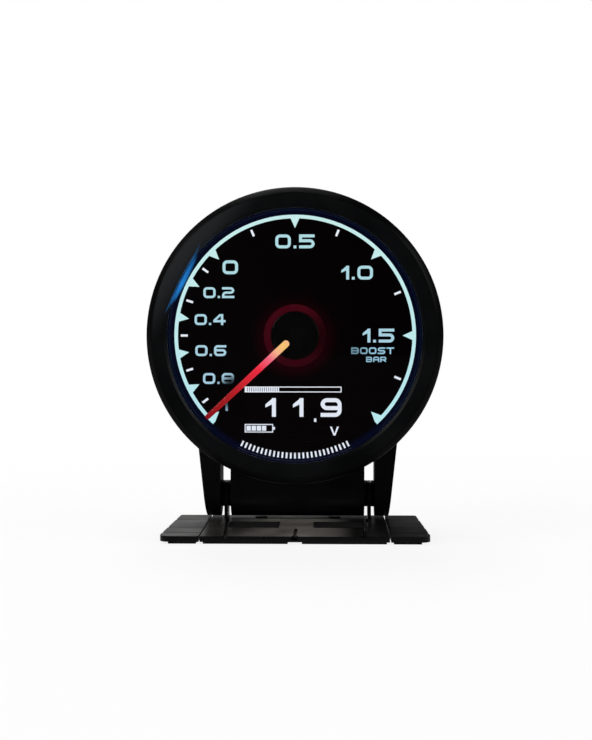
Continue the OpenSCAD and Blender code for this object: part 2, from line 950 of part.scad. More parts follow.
module display_holder() {
    color("#e8e8e4") slab(guide_d0 + glass_t, board_d0)
        translate([0, glass_y]) difference() {
            square([holder_w, holder_h], center = true);
            square([holder_w - 2 * holder_wall, holder_h - 2 * holder_wall], center = true);
        }
}

// Needle, at rest on the scale's low end

needle_gap = 0.75;
needle_d0 = gasket_d0 + needle_gap;
needle_t = 0.6;
needle_r0 = 1.95;
needle_hub_t = 1;
needle_seat = 0.3;
cap_r = 1.45;
shaft_seat = 0.4;

module needle_shape(margin) {
    r0 = needle_w / 2 + margin;
    r1 = needle_tip_w / 2 + margin;
    y0 = needle_r0 + needle_w / 2;
    y1 = needle_reach - needle_tip_w / 2;
    rotate(needle_rest_angle) {
        translate([0, y0]) circle(r0);
        translate([0, y1]) circle(r1);
        polygon([[-r0, y0], [r0, y0], [r1, y1], [-r1, y1]]);
    }
}

module needle() {
    color("#f02818") slab(needle_d0, needle_d0 + needle_t) needle_shape(0);
}

needle_hub_d0 = needle_d0 + needle_t - needle_seat;

module needle_hub() {
    color("#060607") difference() {
        slab(needle_hub_d0, needle_hub_d0 + needle_hub_t) circle(hub_r);
        slab(needle_hub_d0 - overrun, needle_hub_d0 + needle_seat) needle_shape(fit_gap);
        slab(needle_hub_d0 + shaft_seat, dial_d0) circle(shaft_r);
    }
}

module needle_cap() {
    color("#08080a") slab(needle_d0 + needle_t / 4, needle_hub_d0) circle(cap_r);
}

// Movement

motor_wall = 1;
motor_w = 28;
motor_bottom = -9.5;
motor_corner_r = 3;
coil_x = 9.8;
coil_r = 2.4;
coil_l = 10;
bobbin_flange = 0.5;
stator_w = 1.8;
magnet_r = 2.5;
magnet_gap = 0.4;
axle_r = 0.5;
peg_r = 0.9;
motor_pin_r = 0.3;
tooth_add_share = 0.9;
tooth_ded_share = 1.15;
tooth_root_share = 0.25;
tooth_tip_share = 0.12;

output_pitch_r = output_teeth * gear_m / 2;
middle_pitch_r = middle_teeth * gear_m / 2;
pinion_pitch_r = pinion_teeth * gear_m / 2;
middle_y = output_pitch_r + pinion_pitch_r;
rotor_y = middle_y + middle_pitch_r + pinion_pitch_r;
motor_over = 4.5;
motor_top = rotor_y + motor_over;
motor_mid_y = (motor_top + motor_bottom) / 2;

coil_y1 = rotor_y - stator_w / 2 - slip_gap;
coil_y0 = coil_y1 - coil_l;

// Depths inside the motor, counted from its front
case_t = 1;
inside_d0 = motor_d0 + case_t;
inside_l = 6.5;
inside_d1 = inside_d0 + inside_l;
output_wheel_d0 = inside_d0 + 0.6 * case_t;
wheel_t = 1;
stator_d0 = inside_d0 + 2.2 * case_t;
stator_t = 1.2;
coil_d = stator_d0 + stator_t / 2;
magnet_d0 = inside_d0 + 0.6 * case_t;
magnet_t = 3.3;
middle_wheel_d0 = inside_d0 + 4.6 * case_t;
middle_wheel_t = 0.8;
rotor_pinion_d0 = middle_wheel_d0 - 0.3 * case_t;
rotor_pinion_t = 1.4;

// Turn that puts a pinion's gap over the tooth at the top of the wheel below it
pinion_phase = 180 / pinion_teeth;

function polar(r, angle) = [r * cos(angle), r * sin(angle)];

// Gear outline with its first tooth at the top
module gear(teeth) {
    pitch = 360 / teeth;
    root = gear_m * (teeth / 2 - tooth_ded_share);
    tip = gear_m * (teeth / 2 + tooth_add_share);
    polygon([for (i = [0 : teeth - 1], k = [[root, -tooth_root_share], [tip, -tooth_tip_share],
        [tip, tooth_tip_share], [root, tooth_root_share]])
        polar(k[0], 90 + (i + k[1]) * pitch)]);
}

module output_gear() {
    color("#e9e6dc") {
        slab(output_wheel_d0, output_wheel_d0 + wheel_t) gear(output_teeth);
        slab(needle_hub_d0 + shaft_seat, inside_d1 - case_t) circle(shaft_r);
        slab(inside_d1 - case_t, inside_d1 + case_t / 2) circle(axle_r);
    }
}

module intermediate_gear() {
    color("#f2efe4") {
        slab(middle_wheel_d0, middle_wheel_d0 + middle_wheel_t)
            translate([0, middle_y]) gear(middle_teeth);
        slab(output_wheel_d0 - case_t / 5, middle_wheel_d0) translate([0, middle_y])
            rotate(pinion_phase) gear(pinion_teeth);
        slab(inside_d0 - case_t / 2, inside_d1 + case_t / 2)
            translate([0, middle_y]) circle(axle_r);
    }
}

module rotor_magnet() {
    color("#4a4a50") slab(magnet_d0, magnet_d0 + magnet_t)
        translate([0, rotor_y]) ring(axle_r + fit_gap / 2, magnet_r);
}

module rotor_pinion() {
    color("#d8d4c6") {
        slab(rotor_pinion_d0, rotor_pinion_d0 + rotor_pinion_t) translate([0, rotor_y])
            rotate(pinion_phase) gear(pinion_teeth);
        slab(inside_d0 - case_t / 2, inside_d1 + case_t / 2)
            translate([0, rotor_y]) circle(axle_r);
    }
}

module stator() {
    low = coil_y0 - stator_w;
    ring_r = magnet_r + magnet_gap;
    color("#8f9398") slab(stator_d0, stator_d0 + stator_t) {
        difference() {
            union() {
                translate([0, rotor_y]) circle(ring_r + stator_w);
                translate([-coil_x - stator_w / 2, rotor_y - stator_w / 2])
                    square([2 * coil_x + stator_w, stator_w]);
                for (side = [-1, 1])
                    translate([side * coil_x - stator_w / 2, low])
                        square([stator_w, rotor_y - low]);
            }
            translate([0, rotor_y]) circle(ring_r);
            translate([-ring_r - stator_w, motor_top - motor_wall - slip_gap])
                square([2 * (ring_r + stator_w), stator_w]);
        }
    }
}

module coil_rod(r0, r1, y0, y1) {
    in_gauge() both_sides() translate([coil_x, y1, -coil_d]) rotate([90, 0, 0])
        difference() {
            cylinder(r = r1, h = y1 - y0);
            translate([0, 0, -overrun]) cylinder(r = r0, h = y1 - y0 + 2 * overrun);
        }
}

module coil_windings() {
    color("#b8662c")
        coil_rod(coil_r / 2 + fit_gap, coil_r - slip_gap, coil_y0 + bobbin_flange, coil_y1 - bobbin_flange);
}

module coil_bobbins() {
    bore = stator_w / 2 + fit_gap;
    color("#20242a") difference() {
        union() {
            coil_rod(0, coil_r, coil_y0, coil_y0 + bobbin_flange);
            coil_rod(0, coil_r, coil_y1 - bobbin_flange, coil_y1);
            coil_rod(0, coil_r / 2, coil_y0, coil_y1);
        }
        slab(stator_d0 - fit_gap, stator_d0 + stator_t + fit_gap) both_sides()
            translate([coil_x - bore, coil_y0 - overrun]) square([2 * bore, coil_l + 2 * overrun]);
    }
}

module motor_outline(inset) {
    translate([0, motor_mid_y]) rounded(
        motor_w - 2 * inset, motor_top - motor_bottom - 2 * inset, motor_corner_r - inset);
}

peg_x = 11;

module peg_places() {
    for (p = [[-peg_x, motor_bottom + motor_corner_r], [peg_x, motor_top - motor_corner_r]])
        translate(p) children();
}

module motor_pin_places() {
    for (side = [-1, 1], y = [coil_y0 - 1.5 * stator_w, coil_y0 - 3 * stator_w])
        translate([side * (coil_x + stator_w), y]) children();
}

module motor_case() {
    color("#23262b") {
        difference() {
            union() {
                slab(motor_d0, inside_d0) motor_outline(0);
                slab(inside_d0, inside_d1) difference() {
                    motor_outline(0);
                    motor_outline(motor_wall);
                }
                slab(board_d0, motor_d0) peg_places() circle(peg_r);
            }
            slab(board_d0, inside_d0 + overrun) {
                circle(shaft_r + fit_gap);
                motor_pin_places() circle(motor_pin_r);
            }
            slab(inside_d0 - case_t / 2 - fit_gap, inside_d0 + overrun)
                for (y = [middle_y, rotor_y]) translate([0, y]) circle(axle_r + fit_gap);
        }
    }
}

module motor_cover() {
    color("#2b2f35") difference() {
        slab(inside_d1, inside_d1 + case_t) motor_outline(0);
        slab(inside_d1 - overrun, inside_d1 + case_t / 2 + fit_gap)
            for (y = [0, middle_y, rotor_y]) translate([0, y]) circle(axle_r + fit_gap);
    }
}

module motor_pins() {
    color("#c9a24a") slab(board_d0, inside_d0 + case_t) motor_pin_places() circle(motor_pin_r);
}

// Electronics

lamp_count = 20;
lamp_place_r = 22.4;
lamp_w = 1.6;
lamp_h = 1.1;
lamp_t = 0.7;
hub_lamp_count = 6;
hub_lamp_place_r = 5.6;
rear_board_r = 22.5;
board_screw_r = 0.95;
board_screw_head_r = 1.7;
board_screw_head_t = 1;
link_y = -15;
link_pitch = 2.54;
link_count = 6;
link_pin_w = 0.6;
link_strip_t = 2.5;
chip_w = 7;
chip_t = 1;
small_chip_w = 4;
capacitor_r = 2.5;
capacitor_place_share = 1.4;
capacitor_l = 6;
buzzer_r = 4.5;
buzzer_l = 5.5;
buzzer_hole_r = 1;

module main_board() {
    color("#10402a") slab(board_d0, motor_d0) difference() {
        circle(boss_place_r + boss_r);
        circle(shaft_r + shaft_clear);
        around(3, boss_place_r, boss_first) circle(board_screw_r);
        around(3, rib_place_r) circle(rib_r + slip_gap);
        peg_places() circle(peg_r + fit_gap);
        motor_pin_places() circle(motor_pin_r + fit_gap);
    }
}

// Whether a lamp on the ring is clear of the display
function lamp_clear(i) = cos(i * 360 / lamp_count) > -0.3;

module dial_lamps() {
    color("#e8fbff") slab(board_d0 - lamp_t, board_d0)
        for (i = [0 : lamp_count - 1]) if (lamp_clear(i))
            rotate(-i * 360 / lamp_count) translate([0, lamp_place_r])
                square([lamp_w, lamp_h], center = true);
}

module hub_lamps() {
    color("#ff5040") slab(board_d0 - lamp_t, board_d0)
        around(hub_lamp_count, hub_lamp_place_r) square([lamp_w, lamp_h], center = true);
}

module connector_board() {
    color("#10402a") slab(rear_board_d0, rear_board_d1) difference() {
        circle(rear_board_r);
        around(4, standoff_place_r, boss_first) circle(board_screw_r);
    }
}

// Screws of both boards, the front three driven from behind and the rear four from the front
module board_screws() {
    color("#9a9ea3") {
        slab(motor_d0, motor_d0 + board_screw_head_t)
            around(3, boss_place_r, boss_first) circle(board_screw_head_r);
        slab(board_d0 - boss_rise, motor_d0)
            around(3, boss_place_r, boss_first) circle(pilot_r - fit_gap);
        slab(rear_board_d0 - board_screw_head_t, rear_board_d0)
            around(4, standoff_place_r, boss_first) circle(board_screw_head_r);
        slab(rear_board_d0, rear_board_d1 + standoff_h / 2)
            around(4, standoff_place_r, boss_first) circle(pilot_r - fit_gap);
    }
}

module link_places() {
    for (i = [0 : link_count - 1])
        translate([(i - (link_count - 1) / 2) * link_pitch, link_y]) children();
}

module board_link_pins() {
    color("#c9a24a") slab(motor_d0, rear_board_d0)
        link_places() square(link_pin_w, center = true);
}

module board_link_strips() {
    strip_w = link_count * link_pitch;
    color("#1b1b1e") for (d0 = [motor_d0, rear_board_d0 - link_strip_t])
        slab(d0, d0 + link_strip_t) difference() {
            translate([0, link_y]) square([strip_w, link_pitch], center = true);
            link_places() square(link_pin_w + 2 * fit_gap, center = true);
        }
}

module chips() {
    color("#1a1a1c") slab(rear_board_d0 - chip_t, rear_board_d0) {
        translate([chip_w, -chip_w / 3]) square(chip_w, center = true);
        translate([chip_w, chip_w]) square(small_chip_w, center = true);
    }
}

module capacitors() {
    color("#9aa7b5") slab(rear_board_d0 - capacitor_l, rear_board_d0)
        for (y = [-1, 1]) translate([-chip_w / 2, y * capacitor_place_share * capacitor_r]) circle(capacitor_r);
}

module buzzer() {
    color("#17171a") slab(rear_board_d0 - buzzer_l, rear_board_d0) difference() {
        translate([-2 * chip_w, 0]) circle(buzzer_r);
        translate([-2 * chip_w, 0]) circle(buzzer_hole_r);
    }
}

module socket(x, w) {
    back = gauge_depth + socket_proud;
    color("#e6e2d6") translate([x, 0, 0]) difference() {
        slab(rear_board_d1, back) translate([0, socket_y]) square([w, socket_h], center = true);
        slab(rear_board_d1 + socket_floor, back + overrun) translate([0, socket_y])
            square([w - 2 * socket_wall, socket_h - 2 * socket_wall], center = true);
        slab(rear_board_d1 - overrun, back) socket_pin_places(w);
    }
}

// Square holes for a socket's pins, as many as its width takes
module socket_pin_places(w, margin = fit_gap) {
    count = floor((w - 4 * socket_wall) / pin_pitch);
    for (i = [0 : count - 1])
        translate([(i - (count - 1) / 2) * pin_pitch, socket_y])
            square(pin_w + 2 * margin, center = true);
}

module power_socket() {
    socket(-socket_x, power_w);
}

module sensor_socket() {
    socket(socket_x, sensor_w);
}

module socket_pins() {
    d1 = rear_board_d1 + socket_floor + pin_l;
    color("#d2d5d8") slab(rear_board_d1, d1) {
        translate([-socket_x, 0]) socket_pin_places(power_w, 0);
        translate([socket_x, 0]) socket_pin_places(sensor_w, 0);
    }
}

// Setting button and its switch

flange_d1 = cover_d0 - button_travel / 2;
flange_d0 = flange_d1 - flange_t;

module setting_button() {
    color("#2a2c30") {
        slab(flange_d0, flange_d1) translate([0, button_y]) circle(flange_r);
        slab(flange_d1, gauge_depth + button_proud) translate([0, button_y]) circle(button_r);
    }
}

module switch_body() {
    color("#303338") slab(rear_board_d1, rear_board_d1 + switch_t) difference() {
        translate([0, button_y]) square(switch_w, center = true);
        translate([0, button_y]) circle(plunger_r + hinge_gap);
    }
}

module switch_plunger() {
    color("#c8c2b0") slab(rear_board_d1 + button_travel + slip_gap, flange_d0)
        translate([0, button_y]) circle(plunger_r);
}

base_plate();
left_wing();
right_wing();
center_pad();
left_pad();
right_pad();
hinge_bracket();
bracket_rivets();
cradle();
clamp_screw();
clamp_nut();
pivot_screws();
pivot_washers();
bezel();
front_lens();
lens_gasket();
spacer_ring();
rear_can();
rear_cover();
rear_cover_screws();
dial_plate();
dial_scale();
dial_ticks();
dial_numerals();
dial_legend();
hub_ring();
light_guide();
display_glass();
display_picture();
display_holder();
needle();
needle_hub();
needle_cap();
output_gear();
motor_case();
motor_cover();
intermediate_gear();
rotor_magnet();
rotor_pinion();
stator();
coil_windings();
coil_bobbins();
motor_pins();
main_board();
dial_lamps();
hub_lamps();
connector_board();
board_screws();
board_link_pins();
board_link_strips();
chips();
capacitors();
buzzer();
power_socket();
sensor_socket();
socket_pins();
setting_button();
switch_body();
switch_plunger();
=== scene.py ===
import json
import math

import bmesh
import bpy
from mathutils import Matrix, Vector


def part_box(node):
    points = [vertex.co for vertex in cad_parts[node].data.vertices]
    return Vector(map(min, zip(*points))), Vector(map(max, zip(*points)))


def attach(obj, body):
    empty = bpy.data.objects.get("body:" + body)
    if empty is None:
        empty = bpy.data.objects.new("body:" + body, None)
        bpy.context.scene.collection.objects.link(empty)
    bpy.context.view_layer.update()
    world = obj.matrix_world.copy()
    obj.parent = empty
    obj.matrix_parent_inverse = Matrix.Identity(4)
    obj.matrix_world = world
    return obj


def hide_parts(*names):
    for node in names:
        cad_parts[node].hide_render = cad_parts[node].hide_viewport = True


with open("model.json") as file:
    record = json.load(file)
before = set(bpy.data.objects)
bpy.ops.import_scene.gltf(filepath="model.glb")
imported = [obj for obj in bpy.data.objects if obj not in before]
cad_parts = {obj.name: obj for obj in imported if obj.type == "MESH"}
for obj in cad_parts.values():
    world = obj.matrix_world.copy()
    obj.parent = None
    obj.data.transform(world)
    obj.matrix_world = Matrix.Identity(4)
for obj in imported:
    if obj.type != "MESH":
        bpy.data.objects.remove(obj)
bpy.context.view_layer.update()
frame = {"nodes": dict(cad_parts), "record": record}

mm = 0.001
bezelLow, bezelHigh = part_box("bezel")
gauge = {"axisHeight": (bezelLow[2] + bezelHigh[2]) / 2 / mm, "frontPlane": bezelLow[1] / mm}  # mm


# Camera, level with the dial's axis, a little to the right of it and turned back towards it

camera = {"distance": 300.0, "aside": 7.5, "lens": 66.1, "shiftX": 0.0021, "shiftY": -0.0466}

cameraData = bpy.data.cameras.new("photoCamera")
cameraData.lens = camera["lens"]
cameraData.sensor_width = 36
cameraData.shift_x = camera["shiftX"]
cameraData.shift_y = camera["shiftY"]
cameraData.clip_start = 0.01
cameraObject = bpy.data.objects.new("photoCamera", cameraData)
cameraObject.location = (camera["aside"] * mm, (gauge["frontPlane"] - camera["distance"]) * mm,
                         gauge["axisHeight"] * mm)
cameraObject.rotation_euler = (math.radians(90), 0, math.atan(camera["aside"] / camera["distance"]))
bpy.context.collection.objects.link(cameraObject)
bpy.context.scene.camera = cameraObject
print("camera set")


# Small tools for materials

def linearColour(hexText):
    channels = [int(hexText[i:i + 2], 16) / 255 for i in (1, 3, 5)]
    return [c / 12.92 if c <= 0.04045 else ((c + 0.055) / 1.055) ** 2.4 for c in channels] + [1.0]


def addNode(tree, kind, inputs=(), out=None, **settings):
    node = tree.nodes.new(kind)
    for name, value in settings.items():
        setattr(node, name, value)
    for name, value in dict(inputs).items():
        if isinstance(value, bpy.types.NodeSocket):
            tree.links.new(value, node.inputs[name])
        else:
            node.inputs[name].default_value = linearColour(value) if isinstance(value, str) else value
    return node if out is None else node.outputs[out]


def startMaterial(name):
    material = bpy.data.materials.new(name)
    material.use_nodes = True
    tree = material.node_tree
    tree.nodes.clear()
    shader = addNode(tree, "ShaderNodeBsdfPrincipled")
    addNode(tree, "ShaderNodeOutputMaterial", {"Surface": shader.outputs["BSDF"]})
    return material, tree, shader, addNode(tree, "ShaderNodeTexCoord", out="Object")


# One finish for moulded, painted and metal surfaces: tone, grain, slow waves and a film of dust and painted
# pale sheen on upward faces, thinned from one place to another across the part by the listed steps (mm,
# share, mm, share). Grain, patch, wave and their depths are in mm. Grain is drawn about three times coarser
# than the real one, or it wouldn't show
def makeFinish(name, look):
    material, tree, shader, coords = startMaterial(name)
    grain = addNode(tree, "ShaderNodeTexNoise", {
        "Vector": coords, "Scale": 1 / (look["grain"] * mm), "Detail": 3.0}, 0)
    patches = addNode(tree, "ShaderNodeTexNoise", {
        "Vector": coords, "Scale": 1 / (look.get("patch", 6.0) * mm), "Detail": 2.0}, 0)
    blend = addNode(tree, "ShaderNodeMapRange", {0: patches, 1: 0.35, 2: 0.65, 3: 0.0, 4: 1.0}, 0)
    tone = addNode(tree, "ShaderNodeMix", {
        "Factor": blend, 6: look["colour"], 7: look["shade"]}, 2, data_type="RGBA")
    low, high = look["roughness"]
    rough = addNode(tree, "ShaderNodeMapRange", {0: patches, 1: 0.3, 2: 0.7, 3: low, 4: high}, 0)
    # a pale film on upward faces, partly dust and partly painted sheen
    if "dust" in look:
        normal = addNode(tree, "ShaderNodeNewGeometry", out="Normal")
        up = addNode(tree, "ShaderNodeSeparateXYZ", {"Vector": normal}, "Z")
        least, most = look["dust"]
        sheenFilm = addNode(tree, "ShaderNodeMapRange", {0: patches, 1: 0.3, 2: 0.7, 3: least, 4: most}, 0)
        across = addNode(tree, "ShaderNodeSeparateXYZ", {"Vector": coords}, "X")
        for start, before, end, after in look["wiped"]:
            thinner = addNode(tree, "ShaderNodeMapRange", {
                0: across, 1: start * mm, 2: end * mm, 3: before, 4: after}, 0,
                interpolation_type="SMOOTHSTEP")
            sheenFilm = addNode(tree, "ShaderNodeMath", {0: sheenFilm, 1: thinner}, 0, operation="MULTIPLY")
        amount = addNode(tree, "ShaderNodeMapRange", {0: up, 1: 0.85, 2: 1.0, 3: 0.0, 4: sheenFilm}, 0)
        # pale tone of the dust and of the painted sheen
        tone = addNode(tree, "ShaderNodeMix", {
            "Factor": amount, 6: tone, 7: "#8d8881"}, 2, data_type="RGBA")
    tree.links.new(tone, shader.inputs["Base Color"])
    tree.links.new(rough, shader.inputs["Roughness"])
    relief = addNode(tree, "ShaderNodeBump", {"Height": grain, "Distance": look["depth"] * mm}, 0)
    if "wave" in look:
        waves = addNode(tree, "ShaderNodeTexNoise", {
            "Vector": coords, "Scale": 1 / (look["wave"] * mm), "Detail": 1.0}, 0)
        relief = addNode(tree, "ShaderNodeBump", {
            "Height": waves, "Distance": look["waveDepth"] * mm, "Normal": relief}, 0)
    tree.links.new(relief, shader.inputs["Normal"])
    shader.inputs["Metallic"].default_value = look.get("metallic", 0.0)
    shader.inputs["Specular IOR Level"].default_value = look.get("specular", 0.5)
    shader.inputs["Coat Weight"].default_value = look.get("coat", 0.0)
    shader.inputs["Coat Roughness"].default_value = 0.1
    if "scatter" in look:
        shader.inputs["Subsurface Weight"].default_value = look["scatter"]
        shader.inputs["Subsurface Radius"].default_value = (1.0, 0.9, 0.75)
        shader.inputs["Subsurface Scale"].default_value = 0.4 * mm
    return material


finishes = {
    # injection moulded ABS, black: half gloss with slow flow waves, on top a film of dust and painted pale
    # sheen, full in the middle
    "stand_plastic": ("moulded half gloss ABS", {
        "colour": "#030304", "shade": "#080809", "roughness": (0.26, 0.42), "grain": 0.5, "depth": 0.001,
        "patch": 9.0, "wave": 9.0, "waveDepth": 0.06, "dust": (0.45, 0.9),
        "wiped": ((-17.0, 0.12, -5.0, 1.0), (6.0, 1.0, 14.0, 0.03)), "specular": 0.3}),
    # glass filled nylon, black: close matt skin that swallows light
    "cradle_plastic": ("moulded glass filled nylon", {
        "colour": "#030304", "shade": "#060607", "roughness": (0.45, 0.58), "grain": 0.35, "depth": 0.004,
        "specular": 0.18}),
    # closed cell acrylic foam tape: soft open look, no shine
    "adhesive_foam": ("acrylic foam tape", {
        "colour": "#191919", "shade": "#232323", "roughness": (0.85, 0.98), "grain": 0.22, "depth": 0.03,
        "specular": 0.3}),
    # powder coated steel strip: low gloss with orange peel
    "bracket_steel": ("powder coated steel", {
        "colour": "#0b0b0c", "shade": "#111112", "roughness": (0.3, 0.42), "grain": 0.6, "depth": 0.012}),
    # black oxide steel: dark bluish metal with an oily sheen
    "screw_steel": ("black oxide steel", {
        "colour": "#26272a", "shade": "#34353a", "roughness": (0.3, 0.45), "grain": 0.12, "depth": 0.002,
        "metallic": 1.0}),
    # bright zinc plating: pale grey metal, slightly blue and cloudy
    "zinc_steel": ("zinc plated steel", {
        "colour": "#b9bec2", "shade": "#9aa1a8", "roughness": (0.22, 0.4), "grain": 0.15, "depth": 0.002,
        "patch": 1.5, "metallic": 1.0}),
    # fine textured ABS: spark eroded mould skin
    "can_plastic": ("spark textured ABS", {
        "colour": "#0f0f10", "shade": "#151516", "roughness": (0.5, 0.62), "grain": 0.28, "depth": 0.012,
        "specular": 0.45}),
    # white polycarbonate frame round the display
    "holder_white": ("white polycarbonate", {
        "colour": "#e4e3dd", "shade": "#d6d5cd", "roughness": (0.3, 0.42), "grain": 0.3, "depth": 0.002}),
    # matt black ABS of the needle's hub
    "hub_black": ("matt black ABS", {
        "colour": "#050607", "shade": "#080a0b", "roughness": (0.38, 0.5), "grain": 0.25, "depth": 0.003,
        "specular": 0.4}),
    # natural acetal gears: milky, a little light goes in
    "gear_plastic": ("natural acetal", {
        "colour": "#ebe8dc", "shade": "#e0dccd", "roughness": (0.28, 0.38), "grain": 0.2, "depth": 0.001,
        "scatter": 0.25}),
    # glass filled PBT motor housing
    "motor_plastic": ("glass filled PBT", {
        "colour": "#24272b", "shade": "#2d3135", "roughness": (0.45, 0.6), "grain": 0.3, "depth": 0.008}),
    # sintered ferrite: dark, dry and slightly speckled
    "magnet_black": ("sintered ferrite", {
        "colour": "#39393d", "shade": "#4b4b50", "roughness": (0.6, 0.8), "grain": 0.1, "depth": 0.01,
        "patch": 0.6, "metallic": 0.35}),
    # tinned brass pins: warm grey, drawn along their length
    "contact_brass": ("tinned brass", {
        "colour": "#c8c1ac", "shade": "#d7b877", "roughness": (0.18, 0.32), "grain": 0.1, "depth": 0.001,
        "patch": 1.2, "metallic": 1.0}),
    # epoxy moulding compound on chips and the buzzer
    "chip_black": ("epoxy moulding compound", {
        "colour": "#151516", "shade": "#1d1d1f", "roughness": (0.55, 0.7), "grain": 0.12, "depth": 0.006}),
    # sleeved aluminium can: satin metal under a thin film
    "capacitor_can": ("sleeved aluminium", {
        "colour": "#9ca7b2", "shade": "#aeb7c0", "roughness": (0.25, 0.35), "grain": 0.2, "depth": 0.001,
        "metallic": 0.8, "coat": 0.5}),
    # natural nylon 66 of the wire sockets: waxy ivory
    "socket_nylon": ("natural nylon 66", {
        "colour": "#e3dcc6", "shade": "#d8d0b6", "roughness": (0.3, 0.42), "grain": 0.25, "depth": 0.002,
        "scatter": 0.2}),
}
materials = {slot: makeFinish(name, look) for slot, (name, look) in finishes.items()}


# Place in the dial's plane from its axis, and distance from the axis
def dialPlace(tree, coords):
    flat = addNode(tree, "ShaderNodeVectorMath", {0: coords, 1: (1, 0, 1)}, 0, operation="MULTIPLY")
    flat = addNode(tree, "ShaderNodeVectorMath", {
        0: flat, 1: (0, 0, gauge["axisHeight"] * mm)}, 0, operation="SUBTRACT")
    radius = addNode(tree, "ShaderNodeVectorMath", {0: flat}, "Value", operation="LENGTH")
    return flat, radius


# Painted blue reflection: a thin blue streak glowing on the bezel's lip and the dial's rim at the upper
# left
paintedBlueReflection = {"angle": 153.0, "halfLength": 8.8, "centre": 27.8, "halfWidth": 0.65, "colour": "#2380d2"}


def paintedBlueReflectionMask(tree, flat):
    turn = math.radians(paintedBlueReflection["angle"])
    along = addNode(tree, "ShaderNodeVectorMath", {
        0: flat, 1: (-math.sin(turn), 0, math.cos(turn))}, "Value", operation="DOT_PRODUCT")
    outward = addNode(tree, "ShaderNodeVectorMath", {
        0: flat, 1: (math.cos(turn), 0, math.sin(turn))}, "Value", operation="DOT_PRODUCT")
    share = addNode(tree, "ShaderNodeMath", {
        0: along, 1: paintedBlueReflection["halfLength"] * mm}, 0, operation="DIVIDE")
    square = addNode(tree, "ShaderNodeMath", {0: share, 1: share}, 0, operation="MULTIPLY")
    reach = addNode(tree, "ShaderNodeMapRange", {
        0: square, 3: paintedBlueReflection["halfWidth"] * mm, 4: 0.001 * mm}, 0)
    away = addNode(tree, "ShaderNodeMath", {
        0: outward, 1: paintedBlueReflection["centre"] * mm}, 0, operation="SUBTRACT")
    away = addNode(tree, "ShaderNodeMath", {0: away}, 0, operation="ABSOLUTE")
    ratio = addNode(tree, "ShaderNodeMath", {0: away, 1: reach}, 0, operation="DIVIDE")
    across = addNode(tree, "ShaderNodeMapRange", {
        0: ratio, 1: 0.1, 2: 1.0, 3: 1.0, 4: 0.0}, 0, interpolation_type="SMOOTHSTEP")
    upper = addNode(tree, "ShaderNodeMapRange", {0: share, 1: -0.7, 2: 0.1, 3: 0.2, 4: 1.0}, 0)
    lower = addNode(tree, "ShaderNodeMapRange", {0: share, 1: 0.15, 2: 0.7, 3: 1.0, 4: 0.3}, 0)
    level = addNode(tree, "ShaderNodeMath", {0: upper, 1: lower}, 0, operation="MULTIPLY")
    return addNode(tree, "ShaderNodeMath", {0: across, 1: level}, 0, operation="MULTIPLY")


# Satin black lacquered aluminium: dark grey face, a side painted blacker as shade, fine even grain, and a
# painted pale sheen on the face towards the upper left
bezelLook = {"face": "#08090a", "faceShade": "#0f1011", "side": "#030304", "sideStart": 31.4,
             "sideFull": 31.7, "lipFull": 28.9, "lipEnd": 29.3, "glow": 0.8}
faceSheen = {"angle": 143.0, "start": 23.5, "full": 31.0, "colour": "#26282a"}


def makeBezelFinish():
    material, tree, shader, coords = startMaterial("satin lacquered aluminium")
    flat, radius = dialPlace(tree, coords)
    grain = addNode(tree, "ShaderNodeTexNoise", {
        "Vector": coords, "Scale": 1 / (0.3 * mm), "Detail": 3.0}, 0)
    patches = addNode(tree, "ShaderNodeTexNoise", {
        "Vector": coords, "Scale": 1 / (12 * mm), "Detail": 2.0}, 0)
    blend = addNode(tree, "ShaderNodeMapRange", {0: patches, 1: 0.35, 2: 0.65}, 0)
    face = addNode(tree, "ShaderNodeMix", {
        "Factor": blend, 6: bezelLook["face"], 7: bezelLook["faceShade"]}, 2, data_type="RGBA")
    # painted pale sheen on the face, growing towards the upper left
    turn = math.radians(faceSheen["angle"])
    towards = addNode(tree, "ShaderNodeVectorMath", {
        0: flat, 1: (math.cos(turn), 0, math.sin(turn))}, "Value", operation="DOT_PRODUCT")
    sheenFilm = addNode(tree, "ShaderNodeMapRange", {
        0: towards, 1: faceSheen["start"] * mm, 2: faceSheen["full"] * mm}, 0,
        interpolation_type="SMOOTHSTEP")
    face = addNode(tree, "ShaderNodeMix", {
        "Factor": sheenFilm, 6: face, 7: faceSheen["colour"]}, 2, data_type="RGBA")
    # outer bevel and side painted blacker than the face, as painted shade
    side = addNode(tree, "ShaderNodeMapRange", {
        0: radius, 1: bezelLook["sideStart"] * mm, 2: bezelLook["sideFull"] * mm}, 0)
    tone = addNode(tree, "ShaderNodeMix", {
        "Factor": side, 6: face, 7: bezelLook["side"]}, 2, data_type="RGBA")
    tree.links.new(tone, shader.inputs["Base Color"])
    rough = addNode(tree, "ShaderNodeMapRange", {0: patches, 1: 0.3, 2: 0.7, 3: 0.27, 4: 0.36}, 0)
    tree.links.new(rough, shader.inputs["Roughness"])
    relief = addNode(tree, "ShaderNodeBump", {"Height": grain, "Distance": 0.003 * mm}, 0)
    tree.links.new(relief, shader.inputs["Normal"])
    shader.inputs["Specular IOR Level"].default_value = 0.08
    # the lip glows with the painted blue reflection at the upper left
    lip = addNode(tree, "ShaderNodeMapRange", {
        0: radius, 1: bezelLook["lipFull"] * mm, 2: bezelLook["lipEnd"] * mm, 3: 1.0, 4: 0.0}, 0,
        interpolation_type="SMOOTHSTEP")
    glow = addNode(tree, "ShaderNodeMath", {0: paintedBlueReflectionMask(tree, flat), 1: lip}, 0, operation="MULTIPLY")
    light = addNode(tree, "ShaderNodeMix", {
        "Factor": glow, 6: "#000000", 7: paintedBlueReflection["colour"]}, 2, data_type="RGBA")
    tree.links.new(light, shader.inputs["Emission Color"])
    shader.inputs["Emission Strength"].default_value = bezelLook["glow"]
    return material


# Smoked acrylic dial: deep black with a navy rim under a painted blue glow, and a faint painted red glow
# round the needle's hub
dialLook = {"rimStart": 26.6, "rimFull": 27.6, "haloFull": 6.4, "haloEnd": 10.5}


